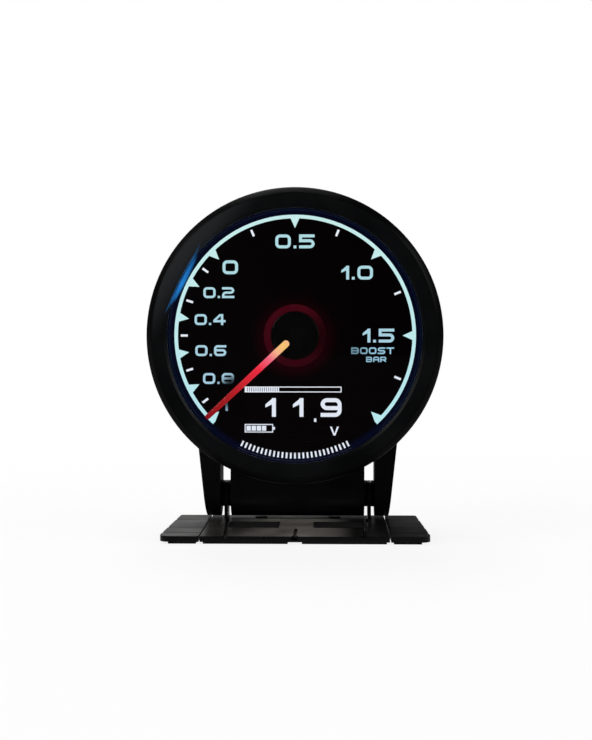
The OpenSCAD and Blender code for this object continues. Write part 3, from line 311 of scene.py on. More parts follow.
def makeDialFinish(name, halo):
    material, tree, shader, coords = startMaterial(name)
    flat, radius = dialPlace(tree, coords)
    haze = addNode(tree, "ShaderNodeTexNoise", {"Vector": coords, "Scale": 1 / (5 * mm), "Detail": 2.0}, 0)
    rim = addNode(tree, "ShaderNodeMapRange", {
        0: radius, 1: dialLook["rimStart"] * mm, 2: dialLook["rimFull"] * mm}, 0,
        interpolation_type="SMOOTHSTEP")
    tone = addNode(tree, "ShaderNodeMix", {"Factor": rim, 6: "#020203", 7: "#050714"}, 2, data_type="RGBA")
    tree.links.new(tone, shader.inputs["Base Color"])
    rough = addNode(tree, "ShaderNodeMapRange", {0: haze, 1: 0.3, 2: 0.7, 3: 0.3, 4: 0.4}, 0)
    tree.links.new(rough, shader.inputs["Roughness"])
    shader.inputs["Specular IOR Level"].default_value = 0.1
    # painted red glow round the hub, stronger below it
    fade = addNode(tree, "ShaderNodeMapRange", {
        0: radius, 1: dialLook["haloFull"] * mm, 2: dialLook["haloEnd"] * mm, 3: halo, 4: 0.0}, 0,
        interpolation_type="SMOOTHSTEP")
    height = addNode(tree, "ShaderNodeSeparateXYZ", {"Vector": flat}, "Z")
    lower = addNode(tree, "ShaderNodeMapRange", {0: height, 1: -6 * mm, 2: 8 * mm, 3: 1.0, 4: 0.35}, 0)
    red = addNode(tree, "ShaderNodeMath", {0: fade, 1: lower}, 0, operation="MULTIPLY")
    light = addNode(tree, "ShaderNodeMix", {"Factor": red, 6: "#030102", 7: "#1c0006"}, 2, data_type="RGBA")
    # painted blue glow over the navy rim
    light = addNode(tree, "ShaderNodeMix", {"Factor": rim, 6: light, 7: "#03061a"}, 2, data_type="RGBA")
    # painted blue reflection at the upper left of the rim
    light = addNode(tree, "ShaderNodeMix", {
        "Factor": paintedBlueReflectionMask(tree, flat), 6: light, 7: paintedBlueReflection["colour"]}, 2, data_type="RGBA")
    tree.links.new(light, shader.inputs["Emission Color"])
    shader.inputs["Emission Strength"].default_value = 1.0
    return material


# Backlit print on film: faintly mottled, two tones from low to high, dimmer near one place if told
printHeights = {"low": -18, "high": 20}


def makeLitPrint(name, low, high, fade=None):
    material, tree, shader, coords = startMaterial(name)
    flat = dialPlace(tree, coords)[0]
    height = addNode(tree, "ShaderNodeSeparateXYZ", {"Vector": flat}, "Z")
    share = addNode(tree, "ShaderNodeMapRange", {
        0: height, 1: printHeights["low"] * mm, 2: printHeights["high"] * mm}, 0)
    tone = addNode(tree, "ShaderNodeMix", {"Factor": share, 6: low, 7: high}, 2, data_type="RGBA")
    mottle = addNode(tree, "ShaderNodeTexNoise", {
        "Vector": coords, "Scale": 1 / (1.2 * mm), "Detail": 2.0}, 0)
    level = addNode(tree, "ShaderNodeMapRange", {0: mottle, 1: 0.3, 2: 0.7, 3: 0.93, 4: 1.0}, 0)
    if fade:
        away = addNode(tree, "ShaderNodeVectorMath", {
            0: flat, 1: (fade["x"] * mm, 0, fade["z"] * mm)}, "Value", operation="DISTANCE")
        level = addNode(tree, "ShaderNodeMapRange", {
            0: away, 1: fade["near"] * mm, 2: fade["far"] * mm, 3: fade["least"], 4: level}, 0,
            interpolation_type="SMOOTHSTEP")
    light = addNode(tree, "ShaderNodeMix", {"Factor": level, 6: "#000000", 7: tone}, 2, data_type="RGBA")
    tree.links.new(light, shader.inputs["Emission Color"])
    shader.inputs["Base Color"].default_value = linearColour("#101416")
    shader.inputs["Roughness"].default_value = 0.5
    shader.inputs["Specular IOR Level"].default_value = 0.2
    shader.inputs["Emission Strength"].default_value = 1.0
    return material


# Clear acrylic: polished or as moulded, with faint smears that dull it a little
def makeClear(name, tint, rough):
    material, tree, shader, coords = startMaterial(name)
    smear = addNode(tree, "ShaderNodeTexNoise", {"Vector": coords, "Scale": 1 / (8 * mm), "Detail": 2.0}, 0)
    blend = addNode(tree, "ShaderNodeMapRange", {0: smear, 1: 0.3, 2: 0.7}, 0)
    tone = addNode(tree, "ShaderNodeMix", {"Factor": blend, 6: tint, 7: "#ffffff"}, 2, data_type="RGBA")
    tree.links.new(tone, shader.inputs["Base Color"])
    dull = addNode(tree, "ShaderNodeMapRange", {0: smear, 1: 0.3, 2: 0.7, 3: rough, 4: rough * 1.6}, 0)
    tree.links.new(dull, shader.inputs["Roughness"])
    shader.inputs["Transmission Weight"].default_value = 1.0
    shader.inputs["IOR"].default_value = 1.49
    return material


# Lit needle: clear acrylic bar, amber where the lamps shine in and deep red at the tip
needleGlow = {"reach": 27.2, "tones": {
    0.05: "#fdb890", 0.13: "#fec86e", 0.2: "#ffba90", 0.28: "#fa6c84", 0.4: "#f42c44",
    0.55: "#d42430", 0.75: "#a81c20", 1.0: "#8c1018"}}


def makeNeedleFinish():
    material, tree, shader, coords = startMaterial("lit red acrylic")
    radius = dialPlace(tree, coords)[1]
    share = addNode(tree, "ShaderNodeMath", {0: radius, 1: needleGlow["reach"] * mm}, 0, operation="DIVIDE")
    ramp = addNode(tree, "ShaderNodeValToRGB", {"Fac": share})
    stops = ramp.color_ramp.elements
    while len(stops) < len(needleGlow["tones"]):
        stops.new(0.5)
    for stop, (place, tone) in zip(stops, sorted(needleGlow["tones"].items())):
        stop.position = place
        stop.color = linearColour(tone)
    tree.links.new(ramp.outputs["Color"], shader.inputs["Emission Color"])
    haze = addNode(tree, "ShaderNodeTexNoise", {"Vector": coords, "Scale": 1 / (1 * mm)}, 0)
    rough = addNode(tree, "ShaderNodeMapRange", {0: haze, 1: 0.3, 2: 0.7, 3: 0.2, 4: 0.3}, 0)
    tree.links.new(rough, shader.inputs["Roughness"])
    shader.inputs["Base Color"].default_value = linearColour("#1c0404")
    shader.inputs["Specular IOR Level"].default_value = 0.2
    shader.inputs["Emission Strength"].default_value = 1.0
    return material


# Glass fibre board under green solder mask, its weave of 0.5 mm threads showing through, with tracks
def makeBoardFinish():
    material, tree, shader, coords = startMaterial("solder masked glass fibre board")
    weave = addNode(tree, "ShaderNodeTexWave", {
        "Vector": coords, "Scale": 1 / (0.5 * mm) / 20, "Distortion": 0.4}, "Fac", bands_direction="X")
    cells = addNode(tree, "ShaderNodeTexVoronoi", {
        "Vector": coords, "Scale": 1 / (3 * mm)}, "Distance", distance="MANHATTAN")
    steps = addNode(tree, "ShaderNodeMath", {0: cells, 1: 0.16}, 0, operation="PINGPONG")
    tracks = addNode(tree, "ShaderNodeMapRange", {0: steps, 1: 0.06, 2: 0.075}, 0)
    tone = addNode(tree, "ShaderNodeMix", {
        "Factor": tracks, 6: "#0c3a24", 7: "#15573a"}, 2, data_type="RGBA")
    threads = addNode(tree, "ShaderNodeMapRange", {0: weave, 1: 0.4, 2: 0.6, 3: 0.0, 4: 0.25}, 0)
    tone = addNode(tree, "ShaderNodeMix", {"Factor": threads, 6: tone, 7: "#1d6647"}, 2, data_type="RGBA")
    tree.links.new(tone, shader.inputs["Base Color"])
    rough = addNode(tree, "ShaderNodeMapRange", {0: weave, 3: 0.22, 4: 0.32}, 0)
    tree.links.new(rough, shader.inputs["Roughness"])
    relief = addNode(tree, "ShaderNodeBump", {"Height": tracks, "Distance": 0.02 * mm}, 0)
    tree.links.new(relief, shader.inputs["Normal"])
    shader.inputs["Coat Weight"].default_value = 0.3
    return material


# Metal with fine bands along one direction: enamelled wire's drawing lines, or the edges of 0.3 mm sheets
def makeBandedMetal(name, bands, width, dark, light, rough, coat):
    material, tree, shader, coords = startMaterial(name)
    lines = addNode(tree, "ShaderNodeTexWave", {
        "Vector": coords, "Scale": 1 / (width * mm) / 20, "Distortion": 0.3}, "Fac", bands_direction=bands)
    tone = addNode(tree, "ShaderNodeMix", {"Factor": lines, 6: dark, 7: light}, 2, data_type="RGBA")
    tree.links.new(tone, shader.inputs["Base Color"])
    dull = addNode(tree, "ShaderNodeMapRange", {0: lines, 3: rough[1], 4: rough[0]}, 0)
    tree.links.new(dull, shader.inputs["Roughness"])
    relief = addNode(tree, "ShaderNodeBump", {"Height": lines, "Distance": 0.01 * mm}, 0)
    tree.links.new(relief, shader.inputs["Normal"])
    shader.inputs["Metallic"].default_value = 1.0
    shader.inputs["Coat Weight"].default_value = coat
    return material


materials["bezel_black"] = makeBezelFinish()
# gasket and display glass lie in the dial's own light, so they share its tones by place
materials["dial_black"] = makeDialFinish("smoked acrylic", 1.0)
materials["gasket_rubber"] = makeDialFinish("moulded silicone rubber", 0.0)
materials["screen_glass"] = makeDialFinish("black display glass", 0.0)
materials["scale_light"] = makeLitPrint("backlit cyan film", "#c2f2f8", "#d2f8f6")
materials["tick_light"] = makeLitPrint("backlit white film", "#eef4ff", "#f2f8ff")
# the hub's ring is lit more weakly on its right side
hubShade = {"x": 6.2, "z": 0.0, "near": 1.0, "far": 8.0, "least": 0.28}
materials["hub_light"] = makeLitPrint("backlit red film", "#24000a", "#4c0412", hubShade)
materials["lamp_white"] = makeLitPrint("white lamp phosphor", "#dff2ff", "#eaf8ff")
materials["lamp_red"] = makeLitPrint("red lamp resin", "#ff3a22", "#ff4a30")
materials["lens_clear"] = makeClear("polished cast acrylic", "#fbfdff", 0.0)
materials["guide_clear"] = makeClear("moulded clear acrylic", "#eef4f2", 0.05)
materials["needle_light"] = makeNeedleFinish()
materials["board_green"] = makeBoardFinish()
# 0.25 mm wire under clear enamel: orange metal with a varnish shine
materials["winding_copper"] = makeBandedMetal(
    "enamelled copper wire", "X", 0.2, "#a85a2a", "#c8743a", (0.2, 0.32), 0.6)
# stamped sheets stacked flat, seen at their edges
materials["stator_steel"] = makeBandedMetal(
    "laminated silicon steel", "Y", 0.3, "#5d6166", "#9da2a7", (0.28, 0.45), 0.0)
# the lamps leave the lowest numeral and the legend's near end dim
numeralShade = {"x": -13.4, "z": -13.0, "near": 2.6, "far": 5.2, "least": 0.04}
materials["numerals"] = makeLitPrint("backlit numeral film", "#aacfe6", "#bae6ec", numeralShade)
legendShade = {"x": 12.4, "z": -4.0, "near": 0.5, "far": 6.0, "least": 0.45}
materials["legend"] = makeLitPrint("backlit legend film", "#9acce4", "#a8d8ec", legendShade)
print(len(materials), "materials made")


# Tools for pieces

slotOf = {part["node"]: part["material_slot"] for part in frame["record"]["subparts"]}
bodyOf = {node: body for body, nodes in frame["record"]["behaviour"]["bodies"].items() for node in nodes}


def meshObject(name, mesh):
    piece = bpy.data.objects.new(name, mesh)
    bpy.context.collection.objects.link(piece)
    return piece


# Puts a finished mesh in place of a CAD node, on its body and with its slot's finish
def standFor(piece, node):
    piece.data.materials.clear()
    piece.data.materials.append(materials[slotOf[node]])
    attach(piece, bodyOf[node])
    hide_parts(node)
    return piece


def applied(piece):
    mesh = bpy.data.meshes.new_from_object(piece.evaluated_get(bpy.context.evaluated_depsgraph_get()))
    piece.modifiers.clear()
    piece.data = mesh
    return piece


# A copy of a CAD node with its edges broken, as every moulded or turned edge is, kept inside the node's box
def softened(name, node, edge, steps=2, angle=32.0):
    mesh = bpy.data.meshes.new(name)
    solid = bmesh.new()
    solid.from_mesh(frame["nodes"][node].data)
    bmesh.ops.remove_doubles(solid, verts=solid.verts, dist=0.002 * mm)
    bmesh.ops.dissolve_limit(solid, angle_limit=math.radians(0.4), verts=solid.verts, edges=solid.edges)
    solid.to_mesh(mesh)
    solid.free()
    if "custom_normal" in mesh.attributes:
        mesh.attributes.remove(mesh.attributes["custom_normal"])
    mesh.shade_smooth()
    piece = meshObject(name, mesh)
    bevel = piece.modifiers.new("edges", "BEVEL")
    bevel.width = edge * mm
    bevel.segments = steps
    bevel.limit_method = "ANGLE"
    bevel.angle_limit = math.radians(angle)
    bevel.harden_normals = True
    applied(piece)
    low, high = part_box(node)
    for vertex in piece.data.vertices:
        vertex.co = [min(max(place, least), most) for place, least, most in zip(vertex.co, low, high)]
    return standFor(piece, node)


# Profile points (radius, depth) with each corner rounded by its own radius
def roundedProfile(corners, steps=5):
    points = []
    count = len(corners)
    for i, (r, d, rounding) in enumerate(corners):
        here = Vector((r, d))
        if rounding == 0:
            points.append(here)
            continue
        before = (Vector(corners[i - 1][:2]) - here).normalized()
        after = (Vector(corners[(i + 1) % count][:2]) - here).normalized()
        half = before.angle(after) / 2
        run = rounding / math.tan(half)
        centre = here + (before + after).normalized() * (rounding / math.sin(half))
        first, last = here + before * run - centre, here + after * run - centre
        sweep = first.angle_signed(last)
        for k in range(steps + 1):
            turn = -sweep * k / steps
            points.append(centre + Vector((first.x * math.cos(turn) - first.y * math.sin(turn),
                                           first.x * math.sin(turn) + first.y * math.cos(turn))))
    return points


# Turns a profile round the dial's axis into a closed smooth solid
def turned(name, corners, sides=160, closed=True):
    points = roundedProfile(corners)
    solid = bmesh.new()
    rings = []
    for k in range(sides):
        turn = 2 * math.pi * k / sides
        rings.append([solid.verts.new((r * math.cos(turn) * mm, (gauge["frontPlane"] + d) * mm,
                                       (gauge["axisHeight"] + r * math.sin(turn)) * mm))
                      for r, d in points])
    count = len(points)
    for k in range(sides):
        near, far = rings[k], rings[(k + 1) % sides]
        for j in range(count if closed else count - 1):
            solid.faces.new((near[j], near[(j + 1) % count], far[(j + 1) % count], far[j]))
    bmesh.ops.remove_doubles(solid, verts=solid.verts, dist=0.001 * mm)
    bmesh.ops.dissolve_degenerate(solid, edges=solid.edges, dist=0.0001 * mm)
    bmesh.ops.recalc_face_normals(solid, faces=solid.faces)
    mesh = bpy.data.meshes.new(name)
    solid.to_mesh(mesh)
    solid.free()
    mesh.shade_smooth()
    mesh.set_sharp_from_angle(angle=math.radians(35))
    return meshObject(name, mesh)


# Bezel: flat satin face between a broken inner lip and an outer bevel painted blacker as shade

bezelRing = {"outer": 33.0, "face": 31.6, "bevel": 1.4, "window": 28.3, "lip": 0.6, "lipDepth": 1.2,
             "depth": 9.5, "bore": 30.06}


def makeBezel(ring):
    return turned("bezelRing", [
        (ring["window"], ring["lipDepth"], 0.1), (ring["window"], ring["lip"], 0.25),
        (ring["window"] + ring["lip"], 0, 0.4), (ring["face"], 0, 0.35),
        (ring["outer"], ring["bevel"], 0.6), (ring["outer"], ring["depth"], 0.35),
        (ring["bore"], ring["depth"], 0.15), (ring["bore"], ring["lipDepth"], 0)], 192)


standFor(makeBezel(bezelRing), "bezel")
print("bezel turned")


# Needle hub and cap: shallow domes on the needle's axis

needleHub = {"radius": 5.4, "front": 3.85, "back": 4.85, "fall": 0.2, "edge": 0.35}
needleCap = {"radius": 1.45, "front": 3.62, "back": 3.85, "fall": 0.12, "edge": 0.08}


def makeHub(disc):
    return turned("needleHub", [
        (0, disc["front"], 0), (disc["radius"] * 0.8, disc["front"] + 0.02, 0.5),
        (disc["radius"], disc["front"] + disc["fall"], disc["edge"]),
        (disc["radius"], disc["back"], 0.15), (0, disc["back"], 0)], 96, closed=False)


def makeCap(dome):
    return turned("needleCap", [
        (0, dome["front"], 0), (dome["radius"] * 0.6, dome["front"] + 0.02, 0.3),
        (dome["radius"], dome["front"] + dome["fall"], dome["edge"]),
        (dome["radius"], dome["back"], 0), (0, dome["back"], 0)], 64, closed=False)


standFor(makeHub(needleHub), "needle_hub")
standFor(makeCap(needleCap), "needle_cap")
print("needle hub and cap turned")


# Needle: a tapered bar with a rounded front, rounded at both ends

needleBar = {"inner": 1.95, "reach": 27.2, "width": 1.6, "tipWidth": 1.15, "front": 3.55, "back": 4.15,
             "restAngle": -133.0, "flankShare": 0.35, "leastWidth": 0.004, "stations": 72, "arc": 12}


def makeNeedle(bar):
    turn = math.radians(90 - bar["restAngle"])
    along = Vector((math.cos(turn), math.sin(turn)))
    across = Vector((-along.y, along.x))
    flank = bar["flankShare"]
    stations = []
    for k in range(bar["stations"] + 1):
        share = (1 - math.cos(math.pi * k / bar["stations"])) / 2
        place = bar["inner"] + (bar["reach"] - bar["inner"]) * share
        width = bar["width"] + (bar["tipWidth"] - bar["width"]) * share
        for edge, radius in ((place - bar["inner"], bar["width"] / 2),
                             (bar["reach"] - place, bar["tipWidth"] / 2)):
            if edge < radius:
                width *= math.sqrt(max(0.0, 1 - (1 - edge / radius) ** 2))
        stations.append((place, max(width, bar["leastWidth"])))
    solid = bmesh.new()
    rings = []
    for place, width in stations:
        middle, side = along * place, across * (width / 2)
        ring = [(middle + side, bar["back"])]
        height = (bar["back"] - bar["front"]) * min(1.0, flank + (1 - flank) * width / bar["tipWidth"])
        for j in range(bar["arc"] + 1):
            bend = math.pi * j / bar["arc"]
            ring.append((middle + side * math.cos(bend),
                         bar["back"] - height * (flank + (1 - flank) * math.sin(bend))))
        ring.append((middle - side, bar["back"]))
        rings.append([solid.verts.new((p.x * mm, (gauge["frontPlane"] + d) * mm,
                                       (gauge["axisHeight"] + p.y) * mm)) for p, d in ring])
    count = len(rings[0])
    for near, far in zip(rings, rings[1:]):
        for j in range(count):
            solid.faces.new((near[j], near[(j + 1) % count], far[(j + 1) % count], far[j]))
    for ring in (rings[0], rings[-1]):
        solid.faces.new(ring)
    bmesh.ops.recalc_face_normals(solid, faces=solid.faces)
    mesh = bpy.data.meshes.new("needleBar")
    solid.to_mesh(mesh)
    solid.free()
    mesh.shade_smooth()
    mesh.set_sharp_from_angle(angle=math.radians(60))
    return meshObject("needleBar", mesh)


standFor(makeNeedle(needleBar), "needle")
print("needle made")


# Outer CAD parts with their edges broken, edge widths in mm

brokenEdges = {"base_plate": 0.25, "left_wing": 0.22, "right_wing": 0.22, "hinge_bracket": 0.12,
               "cradle": 0.3, "pivot_washers": 0.12, "rear_can": 0.2, "rear_cover": 0.35, "clamp_nut": 0.15,
               "clamp_screw": 0.15, "power_socket": 0.12, "sensor_socket": 0.12, "setting_button": 0.25}
for node, edge in brokenEdges.items():
    first, *others = node.split("_")
    softened(first + "".join(word.title() for word in others) + "Skin", node, edge)
print(len(brokenEdges), "outer parts softened")


# Geometry Nodes: a tree with named inputs, run once on a piece and turned into a plain mesh

def startTree(name, inputs):
    tree = bpy.data.node_groups.new(name, "GeometryNodeTree")
    tree.interface.new_socket("Geometry", in_out="OUTPUT", socket_type="NodeSocketGeometry")
    sockets = {}
    for title, kind in {"Geometry": "Geometry", **inputs}.items():
        sockets[title] = tree.interface.new_socket(title, in_out="INPUT", socket_type="NodeSocket" + kind)
    return tree, addNode(tree, "NodeGroupInput").outputs, sockets


def endTree(tree, geometry, material):
    real = addNode(tree, "GeometryNodeRealizeInstances", {"Geometry": geometry}, 0)
    coated = addNode(tree, "GeometryNodeSetMaterial", {"Geometry": real, "Material": material}, 0)
    addNode(tree, "NodeGroupOutput", {"Geometry": coated})


def grown(name, mesh, tree, sockets, values):
    piece = meshObject(name, mesh)
    modifier = piece.modifiers.new("growth", "NODES")
    modifier.node_group = tree
    for title, value in values.items():
        modifier[sockets[title].identifier] = value
    return applied(piece)


# Coil windings: one wire wound turn beside turn, copied to both coils

windingLow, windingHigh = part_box("coil_windings")
winding = {"wire": 0.25, "radius": (windingHigh[1] - windingLow[1]) / 2 / mm,
           "length": (windingHigh[2] - windingLow[2]) / mm}
winding["spacing"] = (windingHigh[0] - windingLow[0]) / mm - 2 * winding["radius"]


def makeWindingTree():
    tree, given, sockets = startTree("woundCoils", {
        "Wire Diameter": "Float", "Coil Radius": "Float", "Coil Length": "Float", "Spacing": "Float",
        "Place": "Vector", "Material": "Material"})
    wireRadius = addNode(tree, "ShaderNodeMath", {
        0: given["Wire Diameter"], 1: 0.5}, 0, operation="MULTIPLY")
    middle = addNode(tree, "ShaderNodeMath", {
        0: given["Coil Radius"], 1: wireRadius}, 0, operation="SUBTRACT")
    height = addNode(tree, "ShaderNodeMath", {
        0: given["Coil Length"], 1: given["Wire Diameter"]}, 0, operation="SUBTRACT")
    turns = addNode(tree, "ShaderNodeMath", {0: height, 1: given["Wire Diameter"]}, 0, operation="DIVIDE")
    spiral = addNode(tree, "GeometryNodeCurveSpiral", {
        "Resolution": 24, "Rotations": turns, "Start Radius": middle, "End Radius": middle,
        "Height": height}, 0)
    section = addNode(tree, "GeometryNodeCurvePrimitiveCircle", {"Resolution": 6, "Radius": wireRadius}, 0)
    wire = addNode(tree, "GeometryNodeCurveToMesh", {
        "Curve": spiral, "Profile Curve": section, "Fill Caps": True}, 0)
    apart = addNode(tree, "ShaderNodeCombineXYZ", {"X": given["Spacing"]}, 0)
    half = addNode(tree, "ShaderNodeVectorMath", {0: apart, "Scale": -0.5}, 0, operation="SCALE")
    lift = addNode(tree, "ShaderNodeCombineXYZ", {"Z": wireRadius}, 0)
    start = addNode(tree, "ShaderNodeVectorMath", {0: half, 1: lift}, 0, operation="ADD")
    start = addNode(tree, "ShaderNodeVectorMath", {0: start, 1: given["Place"]}, 0, operation="ADD")
    places = addNode(tree, "GeometryNodeMeshLine", {
        "Count": 2, "Start Location": start, "Offset": apart}, 0)
    coils = addNode(tree, "GeometryNodeInstanceOnPoints", {"Points": places, "Instance": wire}, 0)
    endTree(tree, coils, given["Material"])
    return tree, sockets


windingTree, windingSockets = makeWindingTree()
standFor(grown("coilWindings", bpy.data.meshes.new("windingStart"), windingTree, windingSockets, {
    "Wire Diameter": winding["wire"] * mm, "Coil Radius": winding["radius"] * mm,
    "Coil Length": winding["length"] * mm, "Spacing": winding["spacing"] * mm,
    "Place": (0, (windingLow[1] + windingHigh[1]) / 2, windingLow[2]),
    "Material": materials["winding_copper"]}), "coil_windings")


# Rear cover screws: three pan heads with a crossed recess, each stopped at its own angle

coverLow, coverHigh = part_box("rear_cover_screws")
coverScrew = {"count": 3, "headRadius": 2.2, "headHeight": 1.1, "shankRadius": 1.25, "shankEnd": 2.0,
              "threadRadius": 0.94, "length": (coverHigh[1] - coverLow[1]) / mm, "crossLength": 2.3,
              "crossWidth": 0.55, "crossDepth": 0.6, "sides": 32, "seed": 4}
coverScrew["ringRadius"] = coverHigh[2] / mm - gauge["axisHeight"] - coverScrew["headRadius"]


# One screw with its head's top at zero, looking up
def makeCrossScrew(look):
    mesh = bpy.data.meshes.new("crossScrew")
    solid = bmesh.new()
    outline = roundedProfile([
        (look["threadRadius"] * 0.5, -look["length"], 0), (look["threadRadius"], 0.5 - look["length"], 0),
        (look["threadRadius"], -look["shankEnd"], 0), (look["shankRadius"], -look["shankEnd"], 0),
        (look["shankRadius"], -look["headHeight"], 0), (look["headRadius"], -look["headHeight"], 0),
        (look["headRadius"], -0.02, 0.5), (look["headRadius"] * 0.7, 0, 0)], 4)
    rings = []
    for r, z in outline:
        rings.append([solid.verts.new((r * math.cos(2 * math.pi * k / look["sides"]) * mm,
                                       r * math.sin(2 * math.pi * k / look["sides"]) * mm, z * mm))
                      for k in range(look["sides"])])
    for near, far in zip(rings, rings[1:]):
        for k in range(look["sides"]):
            following = (k + 1) % look["sides"]
            solid.faces.new((near[k], near[following], far[following], far[k]))
    solid.faces.new(rings[0])
    reach, half = look["crossLength"] / 2, look["crossWidth"] / 2
    arms = [(reach, -half), (reach, half), (half, half), (half, reach), (-half, reach), (-half, half),
            (-reach, half), (-reach, -half), (-half, -half), (-half, -reach), (half, -reach), (half, -half)]
    top = [solid.verts.new((x * mm, y * mm, 0)) for x, y in arms]
    floor = [solid.verts.new((x * 0.8 * mm, y * 0.7 * mm, -look["crossDepth"] * mm)) for x, y in arms]
    corners = len(arms)
    edges = [solid.edges.new((top[i], top[(i + 1) % corners])) for i in range(corners)]
    edges += [solid.edges.get((rings[-1][k], rings[-1][(k + 1) % look["sides"]]))
              for k in range(look["sides"])]
    bmesh.ops.triangle_fill(solid, edges=edges, use_beauty=True, use_dissolve=False)
    for i in range(corners):
        solid.faces.new((top[i], top[(i + 1) % corners], floor[(i + 1) % corners], floor[i]))
    solid.faces.new(floor)
    bmesh.ops.remove_doubles(solid, verts=solid.verts, dist=0.001 * mm)
    bmesh.ops.recalc_face_normals(solid, faces=solid.faces)
    solid.to_mesh(mesh)
    solid.free()
    mesh.shade_smooth()
    mesh.set_sharp_from_angle(angle=math.radians(35))
    return mesh


def makeScrewTree():
    tree, given, sockets = startTree("screwsOnCircle", {
        "Count": "Int", "Circle Radius": "Float", "Place": "Vector", "Seed": "Int", "Material": "Material"})
    circle = addNode(tree, "GeometryNodeMeshCircle", {
        "Vertices": given["Count"], "Radius": given["Circle Radius"]}, 0)
    places = addNode(tree, "GeometryNodeTransform", {
        "Geometry": circle, "Rotation": (0, 0, -math.pi / 2)}, 0)
    turn = addNode(tree, "FunctionNodeRandomValue", {
        2: 0.0, 3: math.pi, "Seed": given["Seed"]}, 1, data_type="FLOAT")
    turn = addNode(tree, "ShaderNodeCombineXYZ", {"Z": turn}, 0)
    screws = addNode(tree, "GeometryNodeInstanceOnPoints", {
        "Points": places, "Instance": given["Geometry"], "Rotation": turn}, 0)
    screws = addNode(tree, "GeometryNodeTransform", {
        "Geometry": screws, "Rotation": (-math.pi / 2, 0, 0), "Translation": given["Place"]}, 0)
    endTree(tree, screws, given["Material"])
    return tree, sockets


screwTree, screwSockets = makeScrewTree()
standFor(grown("coverScrews", makeCrossScrew(coverScrew), screwTree, screwSockets, {
    "Count": coverScrew["count"], "Circle Radius": coverScrew["ringRadius"] * mm,
    "Place": (0, coverHigh[1], gauge["axisHeight"] * mm), "Seed": coverScrew["seed"],
    "Material": materials[slotOf["rear_cover_screws"]]}), "rear_cover_screws")
print("windings and cover screws grown")


# Finishes of the CAD nodes that stay

for node, cadObject in frame["nodes"].items():
    finish = materials[{"dial_numerals": "numerals", "dial_legend": "legend"}.get(node, slotOf[node])]
    for materialSlot in cadObject.material_slots:
        materialSlot.material = finish
print("finishes on", len(frame["nodes"]), "nodes")


# Stage: a white sweep without a horizon, soft lamps, a dark room in front and a paler one at the back

studio = {"floorSize": 6.0, "near": 0.07, "far": 0.35, "whiteNear": 0.85, "paper": 0.8,
          "shineStart": -0.05, "shineFull": 0.0, "roomFront": 0.012, "roomBack": 0.4, "backStart": 0.1,
          "backFull": 0.95, "roomRight": 0.04, "rightStart": -0.12, "rightFull": 0.08, "fill": 0.42}
lamps = {
    "topLamp": {"place": (-0.1, 0.45, 0.8), "size": 0.5, "power": 4.2},
    "leftLamp": {"place": (-0.6, -0.3, 0.45), "size": 0.45, "power": 2.6},
    "rightLamp": {"place": (0.65, -0.25, 0.4), "size": 0.45, "power": 1.8},
}
lampAim = (0, 0, 0.04)


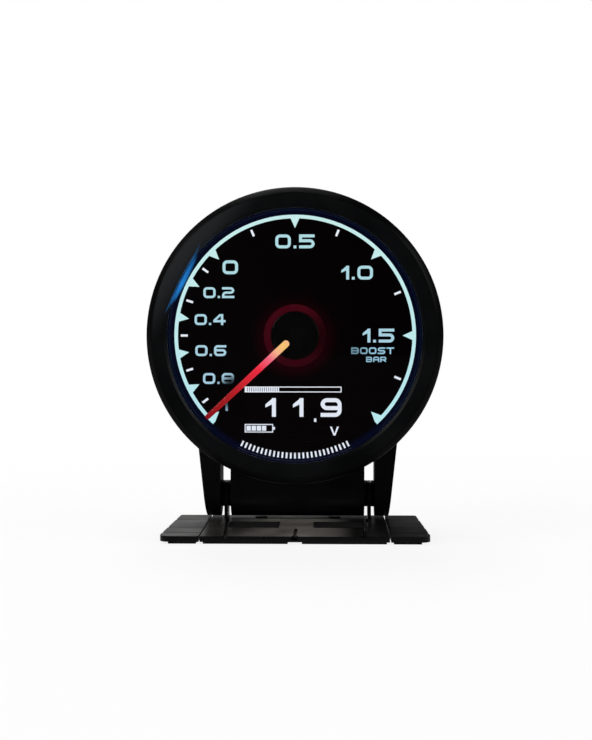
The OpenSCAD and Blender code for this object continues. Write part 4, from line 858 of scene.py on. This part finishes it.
def makeFloor():
    size = studio["floorSize"] / 2
    mesh = bpy.data.meshes.new("paperFloor")
    corners = [(-size, -size, 0), (size, -size, 0), (size, size, 0), (-size, size, 0)]
    mesh.from_pydata(corners, [], [(0, 1, 2, 3)])
    floor = meshObject("paperFloor", mesh)
    material, tree, shader, coords = startMaterial("white studio paper")
    shader.inputs["Base Color"].default_value = (studio["paper"], studio["paper"], studio["paper"], 1)
    shader.inputs["Roughness"].default_value = 0.95
    shader.inputs["Specular IOR Level"].default_value = 0.0
    rays = addNode(tree, "ShaderNodeLightPath").outputs
    mirrored = addNode(tree, "ShaderNodeMath", {
        0: rays["Is Glossy Ray"], 1: rays["Is Transmission Ray"]}, 0, operation="MAXIMUM")
    away = addNode(tree, "ShaderNodeVectorMath", {0: coords}, "Value", operation="LENGTH")
    clear = addNode(tree, "ShaderNodeMapRange", {
        0: away, 1: studio["near"], 2: studio["far"], 3: studio["whiteNear"], 4: 1.0}, 0,
        interpolation_type="SMOOTHSTEP")
    share = addNode(tree, "ShaderNodeMath", {0: rays["Is Camera Ray"], 1: clear}, 0, operation="MULTIPLY")
    share = addNode(tree, "ShaderNodeMath", {0: share, 1: mirrored}, 0, operation="MAXIMUM")
    depth = addNode(tree, "ShaderNodeSeparateXYZ", {"Vector": coords}, "Y")
    shine = addNode(tree, "ShaderNodeMapRange", {
        0: depth, 1: studio["shineStart"], 2: studio["shineFull"], 3: studio["roomFront"],
        4: studio["roomBack"]}, 0, interpolation_type="SMOOTHSTEP")
    level = addNode(tree, "ShaderNodeMix", {"Factor": mirrored, 2: 1.0, 3: shine}, 0)
    glow = addNode(tree, "ShaderNodeEmission", {"Color": "#ffffff", "Strength": level}, 0)
    mix = addNode(tree, "ShaderNodeMixShader", {0: share, 1: shader.outputs["BSDF"], 2: glow}, 0)
    output = next(node for node in tree.nodes if node.type == "OUTPUT_MATERIAL")
    tree.links.new(mix, output.inputs["Surface"])
    mesh.materials.append(material)


def makeRoom():
    world = bpy.data.worlds.new("studioRoom")
    world.use_nodes = True
    tree = world.node_tree
    tree.nodes.clear()
    rays = addNode(tree, "ShaderNodeLightPath").outputs
    facing = addNode(tree, "ShaderNodeTexCoord", out="Generated")
    facing = addNode(tree, "ShaderNodeSeparateXYZ", {"Vector": facing}).outputs
    back = addNode(tree, "ShaderNodeMapRange", {
        0: facing["Y"], 1: studio["backStart"], 2: studio["backFull"], 3: studio["roomFront"],
        4: studio["roomBack"]}, 0, interpolation_type="SMOOTHSTEP")
    side = addNode(tree, "ShaderNodeMapRange", {
        0: facing["X"], 1: studio["rightStart"], 2: studio["rightFull"], 3: 1.0,
        4: studio["roomRight"]}, 0, interpolation_type="SMOOTHSTEP")
    room = addNode(tree, "ShaderNodeMath", {0: back, 1: side}, 0, operation="MULTIPLY")
    mirrored = addNode(tree, "ShaderNodeMath", {
        0: rays["Is Glossy Ray"], 1: rays["Is Transmission Ray"]}, 0, operation="MAXIMUM")
    level = addNode(tree, "ShaderNodeMix", {"Factor": mirrored, 2: studio["fill"], 3: room}, 0)
    level = addNode(tree, "ShaderNodeMix", {"Factor": rays["Is Camera Ray"], 2: level, 3: 1.0}, 0)
    sky = addNode(tree, "ShaderNodeBackground", {"Color": "#ffffff", "Strength": level}, 0)
    addNode(tree, "ShaderNodeOutputWorld", {"Surface": sky})
    bpy.context.scene.world = world


def makeLamps():
    for name, lamp in lamps.items():
        data = bpy.data.lights.new(name, "AREA")
        data.shape = "SQUARE"
        data.size = lamp["size"]
        data.energy = lamp["power"]
        lampObject = bpy.data.objects.new(name, data)
        lampObject.location = lamp["place"]
        aim = Vector(lampAim) - Vector(lamp["place"])
        lampObject.rotation_euler = aim.to_track_quat("-Z", "Y").to_euler()
        bpy.context.collection.objects.link(lampObject)


makeFloor()
makeRoom()
makeLamps()
bpy.context.scene.view_settings.view_transform = "Standard"
print("stage and lamps set")
